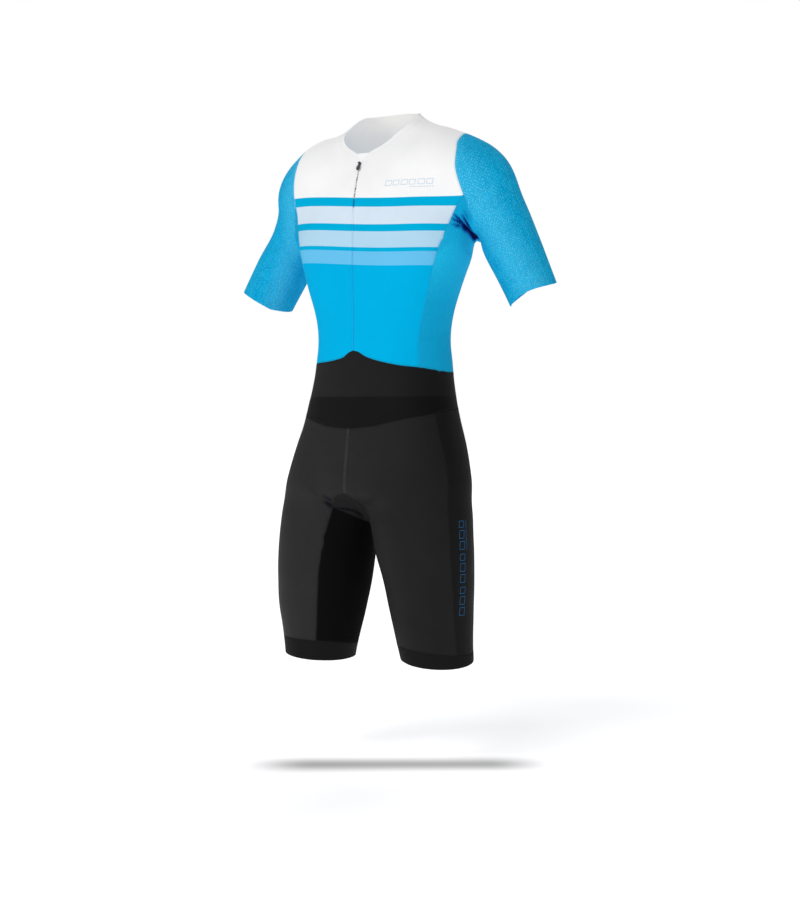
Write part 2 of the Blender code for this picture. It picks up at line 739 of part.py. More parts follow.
def sleeve_grid(side):
    stretches = ((0, ARMHOLE_FRONT, ARMHOLE_FRONT_STEPS),
                 (ARMHOLE_FRONT, ARMHOLE_BACK, ARMHOLE_UNDER_STEPS),
                 (ARMHOLE_BACK, 360, ARMHOLE_BACK_STEPS))
    armhole = joined(*(armhole_line(side, *stretch) for stretch in stretches))
    angles = joined(*(np.linspace(start, end, steps + 1) for start, end, steps in stretches))
    return trimmed(tube(cuff_point(side, angles), armhole, SLEEVE_STEPS), closed=True)


# ---- the black waist and shorts ------------------------------------------------------------
def waist_grid(at_back):
    """The black waist, in front and at the sides or at the back, with its borders' own points."""
    def half(side):
        front, back = side * WAIST_SIDE_FRONT, side * WAIST_SIDE_BACK
        top = joined(waist_line(0, front, FRONT_STEPS),
                     waist_line(front, back, ARMHOLE_UNDER_STEPS),
                     waist_line(back, side * 180, BACK_STEPS // 2))
        bottom = joined(shorts_line(0, side * OUTSEAM_TOP, SHORT_FRONT_STEPS),
                        shorts_line(side * OUTSEAM_TOP, side * 180, SHORT_BACK_STEPS))
        lines = np.stack([bottom, top])
        if at_back:
            return lines[:, -WAIST_BACK_STEPS - 1:][:, ::-1]
        return lines[:, :-WAIST_BACK_STEPS]

    left, right = half(LEFT), half(RIGHT)
    bottom, top = np.concatenate([left[:, ::-1], right[:, 1:]], axis=1)
    share = np.linspace(0, 1, WAIST_STEPS + 1)[:, None]
    ends = [settle(bottom[end] + (top - bottom)[end] * share) for end in (0, -1)]
    return trimmed(patch(bottom, top, *ends))


def short_front_grid(side):
    corner = gusset_side(side)[0]
    inner = joined(inseam(side, front_inseam(side), corner), gusset_end(side, -1), seat_line(-1))
    hem = leg_line(BAND_TOPS, side, INSEAMS.column(front_inseam(side), INSEAMS.key[0]),
                   OUTSEAM.column("angle", OUTSEAM.key[0]), SHORT_FRONT_STEPS)
    waist = shorts_line(0, side * OUTSEAM_TOP, SHORT_FRONT_STEPS)
    return trimmed(patch(hem, waist, inner, outseam(side)))


def short_back_grid(side):
    corner = gusset_side(side)[-1]
    inner = joined(inseam(side, "back", corner), gusset_end(side, 1), seat_line(1))
    hem = leg_line(BAND_TOPS, side, OUTSEAM.column("angle", OUTSEAM.key[0]),
                   360 + INSEAMS.column("back", INSEAMS.key[0]), SHORT_BACK_STEPS)
    waist = shorts_line(side * OUTSEAM_TOP, side * 180, SHORT_BACK_STEPS)
    return trimmed(patch(hem, waist, outseam(side), inner))


def inner_leg_grid(side):
    top = gusset_side(side)
    front = inseam(side, front_inseam(side), top[0])
    back = inseam(side, "back", top[-1])
    hem = leg_line(BAND_TOPS, side, INSEAMS.column(front_inseam(side), INSEAMS.key[0]),
                   INSEAMS.column("back", INSEAMS.key[0]), GUSSET_SIDE_STEPS)
    return trimmed(patch(hem, top, front, back))


def gusset_grid():
    def end(facing):
        return joined(gusset_end(RIGHT, facing), gusset_end(LEFT, facing)[::-1])

    return trimmed(patch(end(-1), end(1), gusset_side(RIGHT), gusset_side(LEFT)))


def band_grid(side):
    front, back = (INSEAMS.column(c, INSEAMS.key[0]) for c in (front_inseam(side), "back"))
    outer = OUTSEAM.column("angle", OUTSEAM.key[0])
    stretches = ((front, outer, SHORT_FRONT_STEPS), (outer, 360 + back, SHORT_BACK_STEPS),
                 (360 + back, 360 + front, GUSSET_SIDE_STEPS))
    rings = [joined(*(leg_line(cuts, side, *stretch) for stretch in stretches))
             for cuts in (HEMS, BAND_TOPS)]
    return trimmed(tube(*rings, BAND_STEPS), closed=True)


# ---- the zip -------------------------------------------------------------------------------
def behind_fronts(fronts, rows, reach):
    """A strip across the two front edges, made from the fronts' own points in these rows."""
    columns = []
    for side in (RIGHT, LEFT):
        edge, neighbour = fronts[side][rows, 0], fronts[side][rows, 1]
        across = (neighbour - edge) / np.linalg.norm(neighbour - edge, axis=-1, keepdims=True)
        pair = [edge + across * reach, edge]
        columns += pair if side == RIGHT else pair[::-1]
    return np.stack(columns, 1)


def add_zip_strips(fronts, finishes):
    closed_rows = slice(0, CENTRE_FRONT_STEPS + 1)
    opened_rows = slice(CENTRE_FRONT_STEPS, CENTRE_FRONT_STEPS + OPENING_STEPS + 1)
    depth = CLOTH + SEAM_GAP
    tape = behind_fronts(fronts, closed_rows, ZIP_TAPE_REACH)
    wall("zip_tape", trimmed(tape), finishes["tape"], TAPE_CLOTH, depth)
    guard = behind_fronts(fronts, opened_rows, GUARD_REACH)
    wall("zip_guard", trimmed(guard), finishes["guard"], TAPE_CLOTH, depth)
    middle = (tape[:, 1] + tape[:, 2]) / 2
    half = np.array((ZIP_CHAIN_WIDTH / 2, 0, 0))
    chain = np.stack([middle - half, middle + half], 1)
    chain[-1, :, 2] -= SEAM_GAP
    wall("zip_coil", chain, finishes["chain"], depth - SEAM_GAP + ZIP_CHAIN_PROUD, -ZIP_CHAIN_PROUD)


SLIDER_WIDTH = 0.0050
SLIDER_LENGTH = 0.0085
SLIDER_THICKNESS = 0.0018
SLIDER_TAPER = 0.8        # width of its lower end as a share of its upper end
EAR_THICKNESS = 0.0009
EAR_LENGTH = 0.0022
EAR_INSET = 0.9           # length of each ear as a share of the slider's part above its hinge
PIN_RADIUS = 0.00045
PIN_SIDES = 12
EYE_HOLE_RADIUS = 0.00078
EYE_RADIUS = 0.00128
PULL_WIDTH = 0.0085
PULL_LENGTH = 0.0150      # from the pin to the tab's lower end
PULL_THICKNESS = 0.0010
PULL_NECK = 0.0022        # length of its straight neck between the slider's ears
PULL_SHOULDER = 0.35      # radians above its middle at which the tab's round end begins
PULL_POINTS = 13          # round that end


def slider_frame():
    """Place of the zip slider: its X across, its Y out of the cloth and its Z up the zip."""
    low, high = straight_point(0.0, np.array((ZIP_TOP - 0.010, ZIP_TOP)), -1)
    up = Vector(high - low).normalized()
    out = Vector((1, 0, 0)).cross(up)
    frame = Matrix.Identity(4)
    for column, axis in enumerate((Vector((-1, 0, 0)), out, up)):
        frame.col[column].xyz = axis
    frame.translation = Vector(high)
    return frame


def prism(maker, outline, low, high):
    """A straight body on an outline in the X-Z plane, from Y = low to Y = high."""
    rings = [[maker.verts.new((x, y, z)) for x, z in outline] for y in (low, high)]
    for i in range(len(outline)):
        j = (i + 1) % len(outline)
        maker.faces.new((rings[0][i], rings[0][j], rings[1][j], rings[1][i]))
    maker.faces.new(rings[0])
    maker.faces.new(rings[1][::-1])


def cross_rod(maker, radius, length, centre_y, centre_z):
    """A round rod along X."""
    place = Matrix.Translation((0, centre_y, centre_z)) @ Matrix.Rotation(math.pi / 2, 4, "Y")
    bmesh.ops.create_cone(maker, cap_ends=True, segments=PIN_SIDES, radius1=radius,
                          radius2=radius, depth=length, matrix=place)


def combined(target, other, operation):
    """Apply a Boolean of another object to the target, and hide that object from renders."""
    other.hide_render = True
    other.display_type = "WIRE"
    cut = target.modifiers.new(operation.title(), "BOOLEAN")
    cut.object = other
    cut.operation = operation


def placed(made, frame):
    made.matrix_world = frame
    return made


def add_slider_and_pull(finish):
    """The slider with the pin that its pull tab turns on, and the pull tab."""
    frame = slider_frame()
    base = ZIP_CHAIN_PROUD + SEAM_GAP
    face = base + SLIDER_THICKNESS
    pin_y = face + SEAM_GAP + EYE_RADIUS
    top, bottom = EAR_LENGTH / 2, EAR_LENGTH / 2 - SLIDER_LENGTH

    body = bmesh.new()
    wide, narrow = SLIDER_WIDTH / 2, SLIDER_WIDTH / 2 * SLIDER_TAPER
    prism(body, [(-wide, top), (wide, top), (wide, bottom / 2), (narrow, bottom),
                 (-narrow, bottom), (-wide, bottom / 2)], base, face)
    slider = placed(add_object("zip_slider", body, finish), frame)
    for sign in (-1, 1):
        ear = bmesh.new()
        bmesh.ops.create_cube(ear, size=1.0)
        bmesh.ops.scale(ear, verts=ear.verts, vec=(
            EAR_THICKNESS, pin_y + EYE_RADIUS - base, EAR_LENGTH * EAR_INSET))
        bmesh.ops.translate(ear, verts=ear.verts, vec=(
            sign * (SLIDER_WIDTH - EAR_THICKNESS - SEAM_GAP) / 2,
            (pin_y + EYE_RADIUS + base) / 2, 0))
        combined(slider, placed(add_object(f"ear_{sign}", ear, finish), frame), "UNION")
    pin = bmesh.new()
    cross_rod(pin, PIN_RADIUS, SLIDER_WIDTH - EAR_THICKNESS, pin_y, 0)
    combined(slider, placed(add_object("pin", pin, finish), frame), "UNION")

    hinge = frame @ Matrix.Translation((0, pin_y, 0))
    eye_length = SLIDER_WIDTH - 2 * EAR_THICKNESS - 3 * SEAM_GAP
    tab = bmesh.new()
    turns = np.linspace(PULL_SHOULDER, -math.pi - PULL_SHOULDER, PULL_POINTS)
    round_end = PULL_WIDTH / 2
    outline = [(-eye_length / 2, -PULL_NECK), (-eye_length / 2, 0),
               (eye_length / 2, 0), (eye_length / 2, -PULL_NECK)]
    outline += [(round_end * math.cos(t), round_end * (1 + math.sin(t)) - PULL_LENGTH)
                for t in turns]
    prism(tab, outline, -EYE_RADIUS, PULL_THICKNESS - EYE_RADIUS)
    pull = placed(add_object("zip_pull", tab, finish), hinge)
    eye = bmesh.new()
    cross_rod(eye, EYE_RADIUS, eye_length, 0, 0)
    combined(pull, placed(add_object("eye", eye, finish), hinge), "UNION")
    hole = bmesh.new()
    cross_rod(hole, EYE_HOLE_RADIUS, eye_length * 2, 0, 0)
    combined(pull, placed(add_object("eye_hole", hole, finish), hinge), "DIFFERENCE")


# ---- the suit ------------------------------------------------------------------------------
def build():
    for old in list(bpy.data.objects):
        bpy.data.objects.remove(old)
    cyan = material("cyan lycra", (0.0, 0.42, 0.77), 0.55)
    knit = material("cyan textured knit", (0.01, 0.36, 0.67), 0.65)
    black = material("black lycra", (0.020, 0.020, 0.021), 0.60)
    deep_black = material("black inner-leg lycra", (0.008, 0.008, 0.009), 0.65)
    grip = material("leg band", (0.022, 0.022, 0.023), 0.55)
    zip_finishes = {
        "tape": material("zip tape", (0.05, 0.45, 0.75), 0.70),
        "guard": material("zip guard", (0.80, 0.80, 0.81), 0.70),
        "chain": material("zip chain", (0.10, 0.30, 0.45), 0.40),
    }
    dark_metal = material("dark zip metal", (0.06, 0.06, 0.065), 0.35, 0.9)

    fronts = {side: front_grid(side) for _, side in SIDES}
    for name, side in SIDES:
        wall(f"front_{name}", fronts[side], cyan)
        wall(f"side_{name}", side_grid(side), cyan)
        wall(f"sleeve_{name}", sleeve_grid(side), knit, closed=True)
        wall(f"short_front_{name}", short_front_grid(side), black)
        wall(f"short_back_{name}", short_back_grid(side), black)
        wall(f"inner_leg_{name}", inner_leg_grid(side), deep_black)
        wall(f"leg_band_{name}", band_grid(side), grip, BAND_CLOTH, closed=True)
    wall("back", back_grid(), cyan)
    wall("waist_front", waist_grid(at_back=False), black)
    wall("waist_back", waist_grid(at_back=True), black)
    wall("crotch_gusset", gusset_grid(), black)
    add_zip_strips(fronts, zip_finishes)
    add_slider_and_pull(dark_metal)


build()
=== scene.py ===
"""The triathlon suit's looks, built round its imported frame.

Cloth, creases, seams, zip, print, stage, lights and camera. Lengths are in metres, or in mm times MM."""

import math

import bmesh
import bpy
import numpy as np
from mathutils import Matrix, Vector
from mathutils.bvhtree import BVHTree
from mathutils.kdtree import KDTree


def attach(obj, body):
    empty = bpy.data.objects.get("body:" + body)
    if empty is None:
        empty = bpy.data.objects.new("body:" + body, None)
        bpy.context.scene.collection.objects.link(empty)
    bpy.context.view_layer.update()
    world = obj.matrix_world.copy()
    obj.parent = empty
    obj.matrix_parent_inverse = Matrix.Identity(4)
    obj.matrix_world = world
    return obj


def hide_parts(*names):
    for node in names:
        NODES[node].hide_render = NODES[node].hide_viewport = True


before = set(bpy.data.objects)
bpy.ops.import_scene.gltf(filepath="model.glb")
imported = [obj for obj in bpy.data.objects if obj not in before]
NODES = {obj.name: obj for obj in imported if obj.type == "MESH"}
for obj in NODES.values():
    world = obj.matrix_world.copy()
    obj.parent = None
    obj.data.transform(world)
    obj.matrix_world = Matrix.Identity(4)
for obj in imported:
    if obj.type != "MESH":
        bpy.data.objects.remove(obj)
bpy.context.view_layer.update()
MM = 0.001
SIDES = {"left": 1, "right": -1}

# ---------------- camera

CAMERA_AZIMUTH = 35                # in degrees, 0 being straight in front of the suit
CAMERA_DISTANCE = 3.3
CAMERA_HEIGHT = -0.548
FOCAL_PIXELS = 1784
FRAME_WIDTH, FRAME_HEIGHT = 800, 900
VANISHING_PIXEL = (384.5, 416)     # where a level line away from the camera ends
SENSOR = 36.0
UP = Vector((0, 0, 1))


def looking(azimuth):
    """The directions to the right and ahead of someone who looks level at the suit from an azimuth."""
    turn = math.radians(azimuth)
    return Vector((math.cos(turn), math.sin(turn), 0)), Vector((-math.sin(turn), math.cos(turn), 0))


view_right, view_ahead = looking(CAMERA_AZIMUTH)
camera_place = CAMERA_HEIGHT * UP - CAMERA_DISTANCE * view_ahead


def sight(pixel):
    """The direction in which the camera sees a pixel of the frame."""
    aside = float(pixel[0] - VANISHING_PIXEL[0]) / FOCAL_PIXELS
    down = float(pixel[1] - VANISHING_PIXEL[1]) / FOCAL_PIXELS
    return (view_ahead + aside * view_right - down * UP).normalized()


def linked(name, data):
    """A new object in the scene for some data."""
    made = bpy.data.objects.new(name, data)
    bpy.context.scene.collection.objects.link(made)
    return made


def make_camera():
    """The camera, turned a little instead of shifted, to put its horizon and axis where they belong."""
    data = bpy.data.cameras.new("camera")
    data.sensor_width = SENSOR
    data.lens = FOCAL_PIXELS * SENSOR / FRAME_HEIGHT
    camera = linked("camera", data)
    ahead = sight((FRAME_WIDTH / 2, FRAME_HEIGHT / 2))
    right = ahead.cross(UP).normalized()
    turn = Matrix((right, right.cross(ahead), -ahead)).transposed().to_4x4()
    camera.matrix_world = Matrix.Translation(camera_place) @ turn
    bpy.context.scene.camera = camera


make_camera()

# ---------------- shader helpers


def srgb(*values):
    """A colour from its red, green and blue from 0 to 255, as they look on a screen."""

    def linear(value):
        value /= 255
        return value / 12.92 if value <= 0.04045 else ((value + 0.055) / 1.055) ** 2.4

    return (*map(linear, values), 1.0)


class Shader:
    """A material with one Principled shader, and short ways to add nodes to it."""

    def __init__(self, name, roughness=0.6, metallic=0.0, specular=0.5):
        self.material = bpy.data.materials.new(name)
        self.material.use_nodes = True
        self.tree = self.material.node_tree
        self.tree.nodes.clear()
        self.surface = self.tree.nodes.new("ShaderNodeBsdfPrincipled")
        self.out = self.tree.nodes.new("ShaderNodeOutputMaterial")
        self.tree.links.new(self.surface.outputs["BSDF"], self.out.inputs["Surface"])
        values = {"Roughness": roughness, "Metallic": metallic, "Specular IOR Level": specular}
        for socket, value in values.items():
            self.surface.inputs[socket].default_value = value

    def node(self, kind, inputs=None, **settings):
        made = self.tree.nodes.new("ShaderNode" + kind)
        for name, value in settings.items():
            setattr(made, name, value)
        for socket, value in (inputs or {}).items():
            self.plug(made.inputs[socket], value)
        return made

    def plug(self, socket, value):
        if isinstance(value, bpy.types.NodeSocket):
            self.tree.links.new(value, socket)
        elif isinstance(value, bpy.types.Node):
            self.tree.links.new(value.outputs[0], socket)
        else:
            socket.default_value = value

    def set(self, **inputs):
        for name, value in inputs.items():
            self.plug(self.surface.inputs[name.replace("_", " ")], value)

    def math(self, operation, first, second=0.0, third=0.0):
        return self.node("Math", {0: first, 1: second, 2: third}, operation=operation)

    def times(self, first, second):
        return self.math("MULTIPLY", first, second)

    def mix(self, factor, first, second, blend="MIX"):
        made = self.node("Mix", data_type="RGBA", blend_type=blend)
        self.plug(made.inputs["Factor"], factor)
        for end, value in (("A_Color", first), ("B_Color", second)):
            self.plug(next(i for i in made.inputs if i.identifier == end), value)
        return next(o for o in made.outputs if o.identifier == "Result_Color")

    def object_point(self):
        return self.node("TexCoord").outputs["Object"]

    def place(self):
        """The x, y and z of a point of the object, in metres."""
        return self.node("SeparateXYZ", {"Vector": self.object_point()}).outputs

    def cloth_point(self):
        """Where a point is on its panel: metres across and metres along it."""
        split = self.node("SeparateXYZ", {"Vector": self.node("UVMap", uv_map="cloth")})
        return split.outputs[0], split.outputs[1]

    def noise(self, size, detail):
        """Cloudy noise from 0 to 1 whose lumps are about `size` metres."""
        inputs = {"Vector": self.object_point(), "Scale": 1 / size, "Detail": detail, "Roughness": 0.5}
        return self.node("TexNoise", inputs).outputs[0]

    def remap(self, value, low, high, to_low=0.0, to_high=1.0, kind="LINEAR"):
        ends = {"From Min": low, "From Max": high, "To Min": to_low, "To Max": to_high}
        return self.node("MapRange", {"Value": value, **ends}, interpolation_type=kind)

    def uneven(self, size, detail, least, most, low=0.3, high=0.7):
        """A share that wanders between two values, in lumps of about `size` metres."""
        return self.remap(self.noise(size, detail), low, high, least, most)

    def speckled(self, size, detail, first, second, low=0.3, high=0.7):
        """Two colours in lumps of about `size` metres."""
        return self.mix(self.uneven(size, detail, 0.0, 1.0, low, high), first, second)

    def glow(self, strength, colour=None):
        """Light of the cloth's own, in one colour unless its colour is already linked."""
        self.surface.inputs["Emission Strength"].default_value = strength
        if colour is not None:
            self.surface.inputs["Emission Color"].default_value = colour

    def bump(self, height, distance, strength=1.0, below=None):
        inputs = {"Height": height, "Distance": distance, "Strength": strength}
        if below is not None:
            inputs["Normal"] = below
        return self.node("Bump", inputs)


def wave(shader, coordinate, pitch):
    """A sine from -1 to 1 that repeats every `pitch` metres along a coordinate."""
    return shader.math("SINE", shader.times(coordinate, 2 * math.pi / pitch))


def dimmed(shade, share):
    return (*(share * c for c in shade[:3]), 1.0)


def grainy(name, first, second, specks, grain, **surface):
    """A surface in two close colours; specks and grain start with a size and a detail."""
    s = Shader(name, **surface)
    s.set(Base_Color=s.speckled(*specks[:2], first, second, *specks[2:]))
    s.set(Normal=s.bump(s.noise(*grain[:2]), *grain[2:]))
    return s


# ---------------- cloth materials

WHITE = srgb(248, 248, 248)
BODY = srgb(0, 176, 228)
STRIPE = srgb(0, 174, 219)
PALE = srgb(214, 229, 242)
PALE_BLUE = srgb(178, 216, 238)
MID_BLUE = srgb(104, 194, 238)
# lower edge of each colour of the print where it is lowest, at the left side, from the yoke down, in mm
PRINT = [
    (WHITE, -158.7),
    (STRIPE, -175.3),
    (PALE, -207.0),
    (STRIPE, -219.3),
    (PALE_BLUE, -248.3),
    (STRIPE, -255.3),
    (MID_BLUE, -279.8),
    (BODY, None),
]
PRINT_TOP, PRINT_BOTTOM = -0.120, -0.300
PRINT_RISE = 0.0178                             # how far the bands rise from the left side to the right
PRINT_RISE_FROM, PRINT_RISE_TO = 0.10, -0.20    # and between which places across
HOLLOW_SHADE = 0.93                             # painted shade: how much of a colour the deepest crease takes away
WALE, COURSE = 0.8 * MM, 0.6 * MM
KNIT_DEPTH = 0.06 * MM


def knit(shader, strength, depth=KNIT_DEPTH):
    """The relief of a fine warp knit: upright wales crossed by courses."""
    across, along = shader.cloth_point()
    ribs = shader.math("ABSOLUTE", wave(shader, across, 2 * WALE))
    rows = wave(shader, along, COURSE)
    return shader.bump(shader.math("MULTIPLY_ADD", rows, 0.25, ribs), depth, strength)


def shaded(shader, colour, *shares):
    """A colour times its shares of unevenness, and darker, bluer down in the creases, where shade is
    painted.
    """
    painted_crease_shade = shader.node("Attribute", attribute_name="painted_crease_shade").outputs["Fac"]
    left = shader.math("SUBTRACT", 1.0, shader.times(painted_crease_shade, HOLLOW_SHADE))
    share = left
    for other in shares:
        share = shader.times(share, other)
    warm = shader.times(share, left)
    grey = shader.node("CombineColor", {0: warm, 1: warm, 2: share})
    return shader.mix(1.0, colour, grey.outputs[0], "MULTIPLY")


def print_colour(s):
    """The yoke and the bands of the print, by the height on the chest, which rises to the right."""
    x, _, z = s.place()
    rise = s.remap(x, PRINT_RISE_FROM, PRINT_RISE_TO, 0.0, PRINT_RISE, "SMOOTHSTEP")
    place = s.remap(s.math("SUBTRACT", z, rise), PRINT_TOP, PRINT_BOTTOM)
    ramp = s.node("ValToRGB", {"Fac": place})
    stops = ramp.color_ramp
    stops.interpolation = "CONSTANT"
    stops.elements.remove(stops.elements[1])
    stops.elements[0].position, stops.elements[0].color = 0.0, PRINT[0][0]
    for (_, above), (colour, _) in zip(PRINT[:-1], PRINT[1:]):
        where = (above * MM - PRINT_TOP) / (PRINT_BOTTOM - PRINT_TOP)
        stops.elements.new(where).color = colour
    return ramp.outputs[0]


def printed_lycra(name):
    """Smooth stretch knit with the yoke and the bands of the print."""
    s = Shader(name, roughness=0.9, specular=0.02)
    cloudy = s.uneven(50 * MM, 3, 0.975, 1.01)
    fine = s.uneven(1.3 * MM, 1, 0.985, 1.01)
    s.set(Base_Color=shaded(s, print_colour(s), cloudy, fine), Normal=knit(s, 0.6))
    return s.material


SIDE_PITCH = 2.4 * MM
SIDE_PAINTED_LIGHT = (-0.345, -0.265)     # the heights between which painted light makes the side panels paler
SIDE_PAINTED_SHADE = (-0.245, -0.195)    # and those between which painted shade darkens them again, under the arm


def side_mesh(name):
    """The finely open mesh of the side panels, paler with painted light up the side and darker with
    painted shade under the arm.
    """
    s = Shader(name, roughness=0.85, specular=0.08)
    across, along = s.cloth_point()
    holes = s.times(wave(s, across, SIDE_PITCH), wave(s, along, SIDE_PITCH))
    grain = s.math("MULTIPLY_ADD", holes, 0.35, s.noise(2.6 * MM, 2))
    lit = s.remap(grain, 0.2, 0.85)
    z = s.place()[2]
    # painted light and shade: the side panels' colour goes from a shaded one to a lit one by height
    high = s.times(s.remap(z, *SIDE_PAINTED_LIGHT, 0.0, 0.75), s.remap(z, *SIDE_PAINTED_SHADE, 1.0, 0.0))
    dark = s.mix(lit, srgb(0, 150, 199), srgb(14, 174, 218))
    pale = s.mix(lit, srgb(14, 182, 226), srgb(44, 206, 244))
    s.set(Base_Color=shaded(s, s.mix(high, dark, pale)))
    s.set(Normal=s.bump(grain, 0.12 * MM, 0.5, knit(s, 0.5)))
    return s.material


SLEEVE_RADIUS = 0.052
SLEEVE_COLUMNS = 34
SLEEVE_ROW = 6.6 * MM
# where the sleeve's band of painted sheen starts across it, how far it leans per metre, and its half width
PAINTED_SHEEN_START, PAINTED_SHEEN_LEAN, PAINTED_SHEEN_HALF = -0.012, -0.14, 0.026
PAINTED_SHEEN_SHARE = 0.48


def sleeve_knit(name):
    """The sleeves' relief knit: columns of small broken chevrons that run down the arm, and a band of
    painted sheen down its front.
    """
    s = Shader(name, roughness=0.85, specular=0.05)
    across, along = s.cloth_point()
    column = 2 * math.pi * SLEEVE_RADIUS / SLEEVE_COLUMNS
    sway = s.times(s.math("SUBTRACT", s.noise(11 * MM, 1), 0.5), 5.0 * MM)
    zigzag = s.math("PINGPONG", s.math("ADD", across, 100 * column), column / 2)
    step = s.times(s.math("FLOOR", s.math("DIVIDE", across, column)), 0.38 * SLEEVE_ROW)
    chevron = s.math("MULTIPLY_ADD", zigzag, 1.7, s.math("ADD", s.math("ADD", along, step), sway))
    bars = s.remap(wave(s, chevron, SLEEVE_ROW), 0.0, 0.9)
    marks = s.times(bars, s.uneven(3.8 * MM, 1, 0.0, 1.0, 0.38, 0.58))
    ribs = s.math("MULTIPLY_ADD", wave(s, across, column), 0.5, 0.5)
    ground = s.speckled(18 * MM, 2, srgb(0, 157, 207), srgb(6, 170, 219), 0.35, 0.65)
    ground = s.mix(s.times(ribs, 0.35), ground, srgb(0, 144, 196))
    # painted sheen: a paler band down the sleeve's front, in which the marks are paler and fainter
    middle = s.math("MULTIPLY_ADD", along, PAINTED_SHEEN_LEAN, PAINTED_SHEEN_START)
    aside = s.math("ABSOLUTE", s.math("SUBTRACT", across, middle))
    band = s.remap(s.math("ADD", aside, sway), 1.5 * PAINTED_SHEEN_HALF, 0.3 * PAINTED_SHEEN_HALF, 0.0, PAINTED_SHEEN_SHARE)
    ground = s.mix(band, ground, srgb(58, 186, 230))
    strength = s.times(marks, s.remap(band, 0.0, PAINTED_SHEEN_SHARE, 0.85, 0.7))
    bright = s.mix(s.times(band, 1.6), srgb(58, 194, 236), srgb(112, 214, 244))
    s.set(Base_Color=shaded(s, s.mix(strength, ground, bright)))
    relief = s.math("MULTIPLY_ADD", ribs, 0.4, marks)
    s.set(Normal=s.bump(relief, 0.4 * MM, 0.7, knit(s, 0.5)))
    return s.material


PAINTED_SHADE_FROM, PAINTED_SHADE_TO = -0.05, 0.13                   # where the shade painted on black cloth, darker towards the wearer's left, starts and ends
PLAIN_KNIT_DEPTH = 0.08 * MM
WAIST_BAND, WAIST_BAND_SOFT = -0.513, 1.5 * MM     # the upper edge of the waist's darker band


def black_lycra(name, shade, specular, roughness=0.62, band=1.0, left=1.0):
    """Black stretch knit with a soft shine.

    `band` is the share of the shade below the waist's edge, and `left` that at the far left, a painted
    shade that darkens the cloth towards the wearer's left."""
    s = Shader(name, roughness=roughness, specular=specular)
    x, _, z = s.place()
    shares = [s.uneven(60 * MM, 3, 0.92, 1.08), s.uneven(1.1 * MM, 1, 0.90, 1.10)]
    # painted shade: darker towards the wearer's left
    if left < 1:
        shares.append(s.remap(x, PAINTED_SHADE_FROM, PAINTED_SHADE_TO, 1.0, left))
    if band < 1:
        shares.append(s.remap(z, WAIST_BAND - WAIST_BAND_SOFT, WAIST_BAND + WAIST_BAND_SOFT, band, 1.0))
    s.set(Base_Color=shaded(s, shade, *shares), Normal=knit(s, 0.6, PLAIN_KNIT_DEPTH))
    return s.material


def inside_cloth(name, shade, glow=0.0, painted_glow_colour=None):
    """The unprinted inside of a panel, which glows a little with painted light where `glow` is given."""
    s = Shader(name, roughness=0.85, specular=0.1)
    s.set(Base_Color=s.speckled(0.9 * MM, 1, shade, dimmed(shade, 0.94)))
    s.set(Normal=knit(s, 0.6, PLAIN_KNIT_DEPTH))
    # painted light: the inside glows, though no lamp is there
    if glow:
        s.glow(glow, painted_glow_colour or shade)
    return s.material


MATERIALS = {
    "print": printed_lycra("printed_lycra"),
    "side": side_mesh("side_mesh"),
    "sleeve": sleeve_knit("sleeve_knit"),
    # painted shade: the waist and the front shorts darken towards the wearer's left
    "waist": black_lycra("black_waist", srgb(31, 30, 30), 0.10, band=0.34, left=0.45),
    "shorts": black_lycra("black_shorts", srgb(37, 37, 37), 0.12, left=0.50),
    "shorts_back": black_lycra("black_shorts_back", srgb(18, 17, 18), 0.09),
    # painted shade: the inner legs are a darker black for the shade between the legs
    "inner_leg": black_lycra("black_inner_leg_painted_shade", srgb(12, 12, 12), 0.03, 0.85),
    "leg_band": black_lycra("black_leg_band", srgb(19, 19, 20), 0.08, 0.7),
    "gusset": black_lycra("black_gusset", srgb(27, 27, 28), 0.12, 0.7),
    # painted light: the white and cyan insides glow a little
    "white_inside": inside_cloth("white_inside", srgb(239, 237, 234), 0.25, srgb(249, 240, 232)),
    "cyan_inside": inside_cloth("cyan_inside", srgb(0, 164, 214), 0.22),
    "black_inside": inside_cloth("black_inside", srgb(24, 24, 25)),
}

# ---------------- the cloth skin

CLOTH = [name for name in NODES if not name.startswith("zip")]
WALL_MOST = 1.8 * MM        # faces with a shorter edge than this are the rims of a wall
POINT_GAP = 0.02 * MM       # points of one node this close are one point
SEAM_GAP = 0.6 * MM         # so are those of two panels, across a seam
SLIT_GAP = 1.6 * MM         # and those on open edges
PROBE = 3 * MM
QUAD_BEND = math.radians(60)
FIT_ROUNDS = 4
SKIN_LEVELS, ZIP_LEVELS = 3, 2
LOOK_FROM = 2               # how far off a level look at the suit starts
SHELL = 0.7 * MM            # thickness of the finished cloth
SHARP_FROM = math.radians(50)


def node_mesh(name):
    bm = bmesh.new()
    bm.from_mesh(NODES[name].data)
    bmesh.ops.remove_doubles(bm, verts=bm.verts, dist=POINT_GAP)
    bm.normal_update()
    return bm


def two_layers(bm):
    """The two broad sheets of faces of a thin wall, whose rims have edges as short as it is thick."""
    broad = {face for face in bm.faces if min(edge.calc_length() for edge in face.edges) > WALL_MOST}
    groups, seen = [], set()
    for face in bm.faces:
        if face in seen or face not in broad:
            continue
        group, stack = [], [face]
        seen.add(face)
        while stack:
            here = stack.pop()
            group.append(here)
            for edge in here.edges:
                for other in edge.link_faces:
                    if other in broad and other not in seen:
                        seen.add(other)
                        stack.append(other)
        groups.append(group)
    groups.sort(key=len)
    return groups[-2:]


def cast_share(group, tree):
    """The share of a sheet's faces that see more of the suit when they look out along their normals."""
    hits = 0
    for face in group:
        start = face.calc_center_median() + PROBE * face.normal
        hits += tree.ray_cast(start, face.normal)[0] is not None
    return hits / len(group)


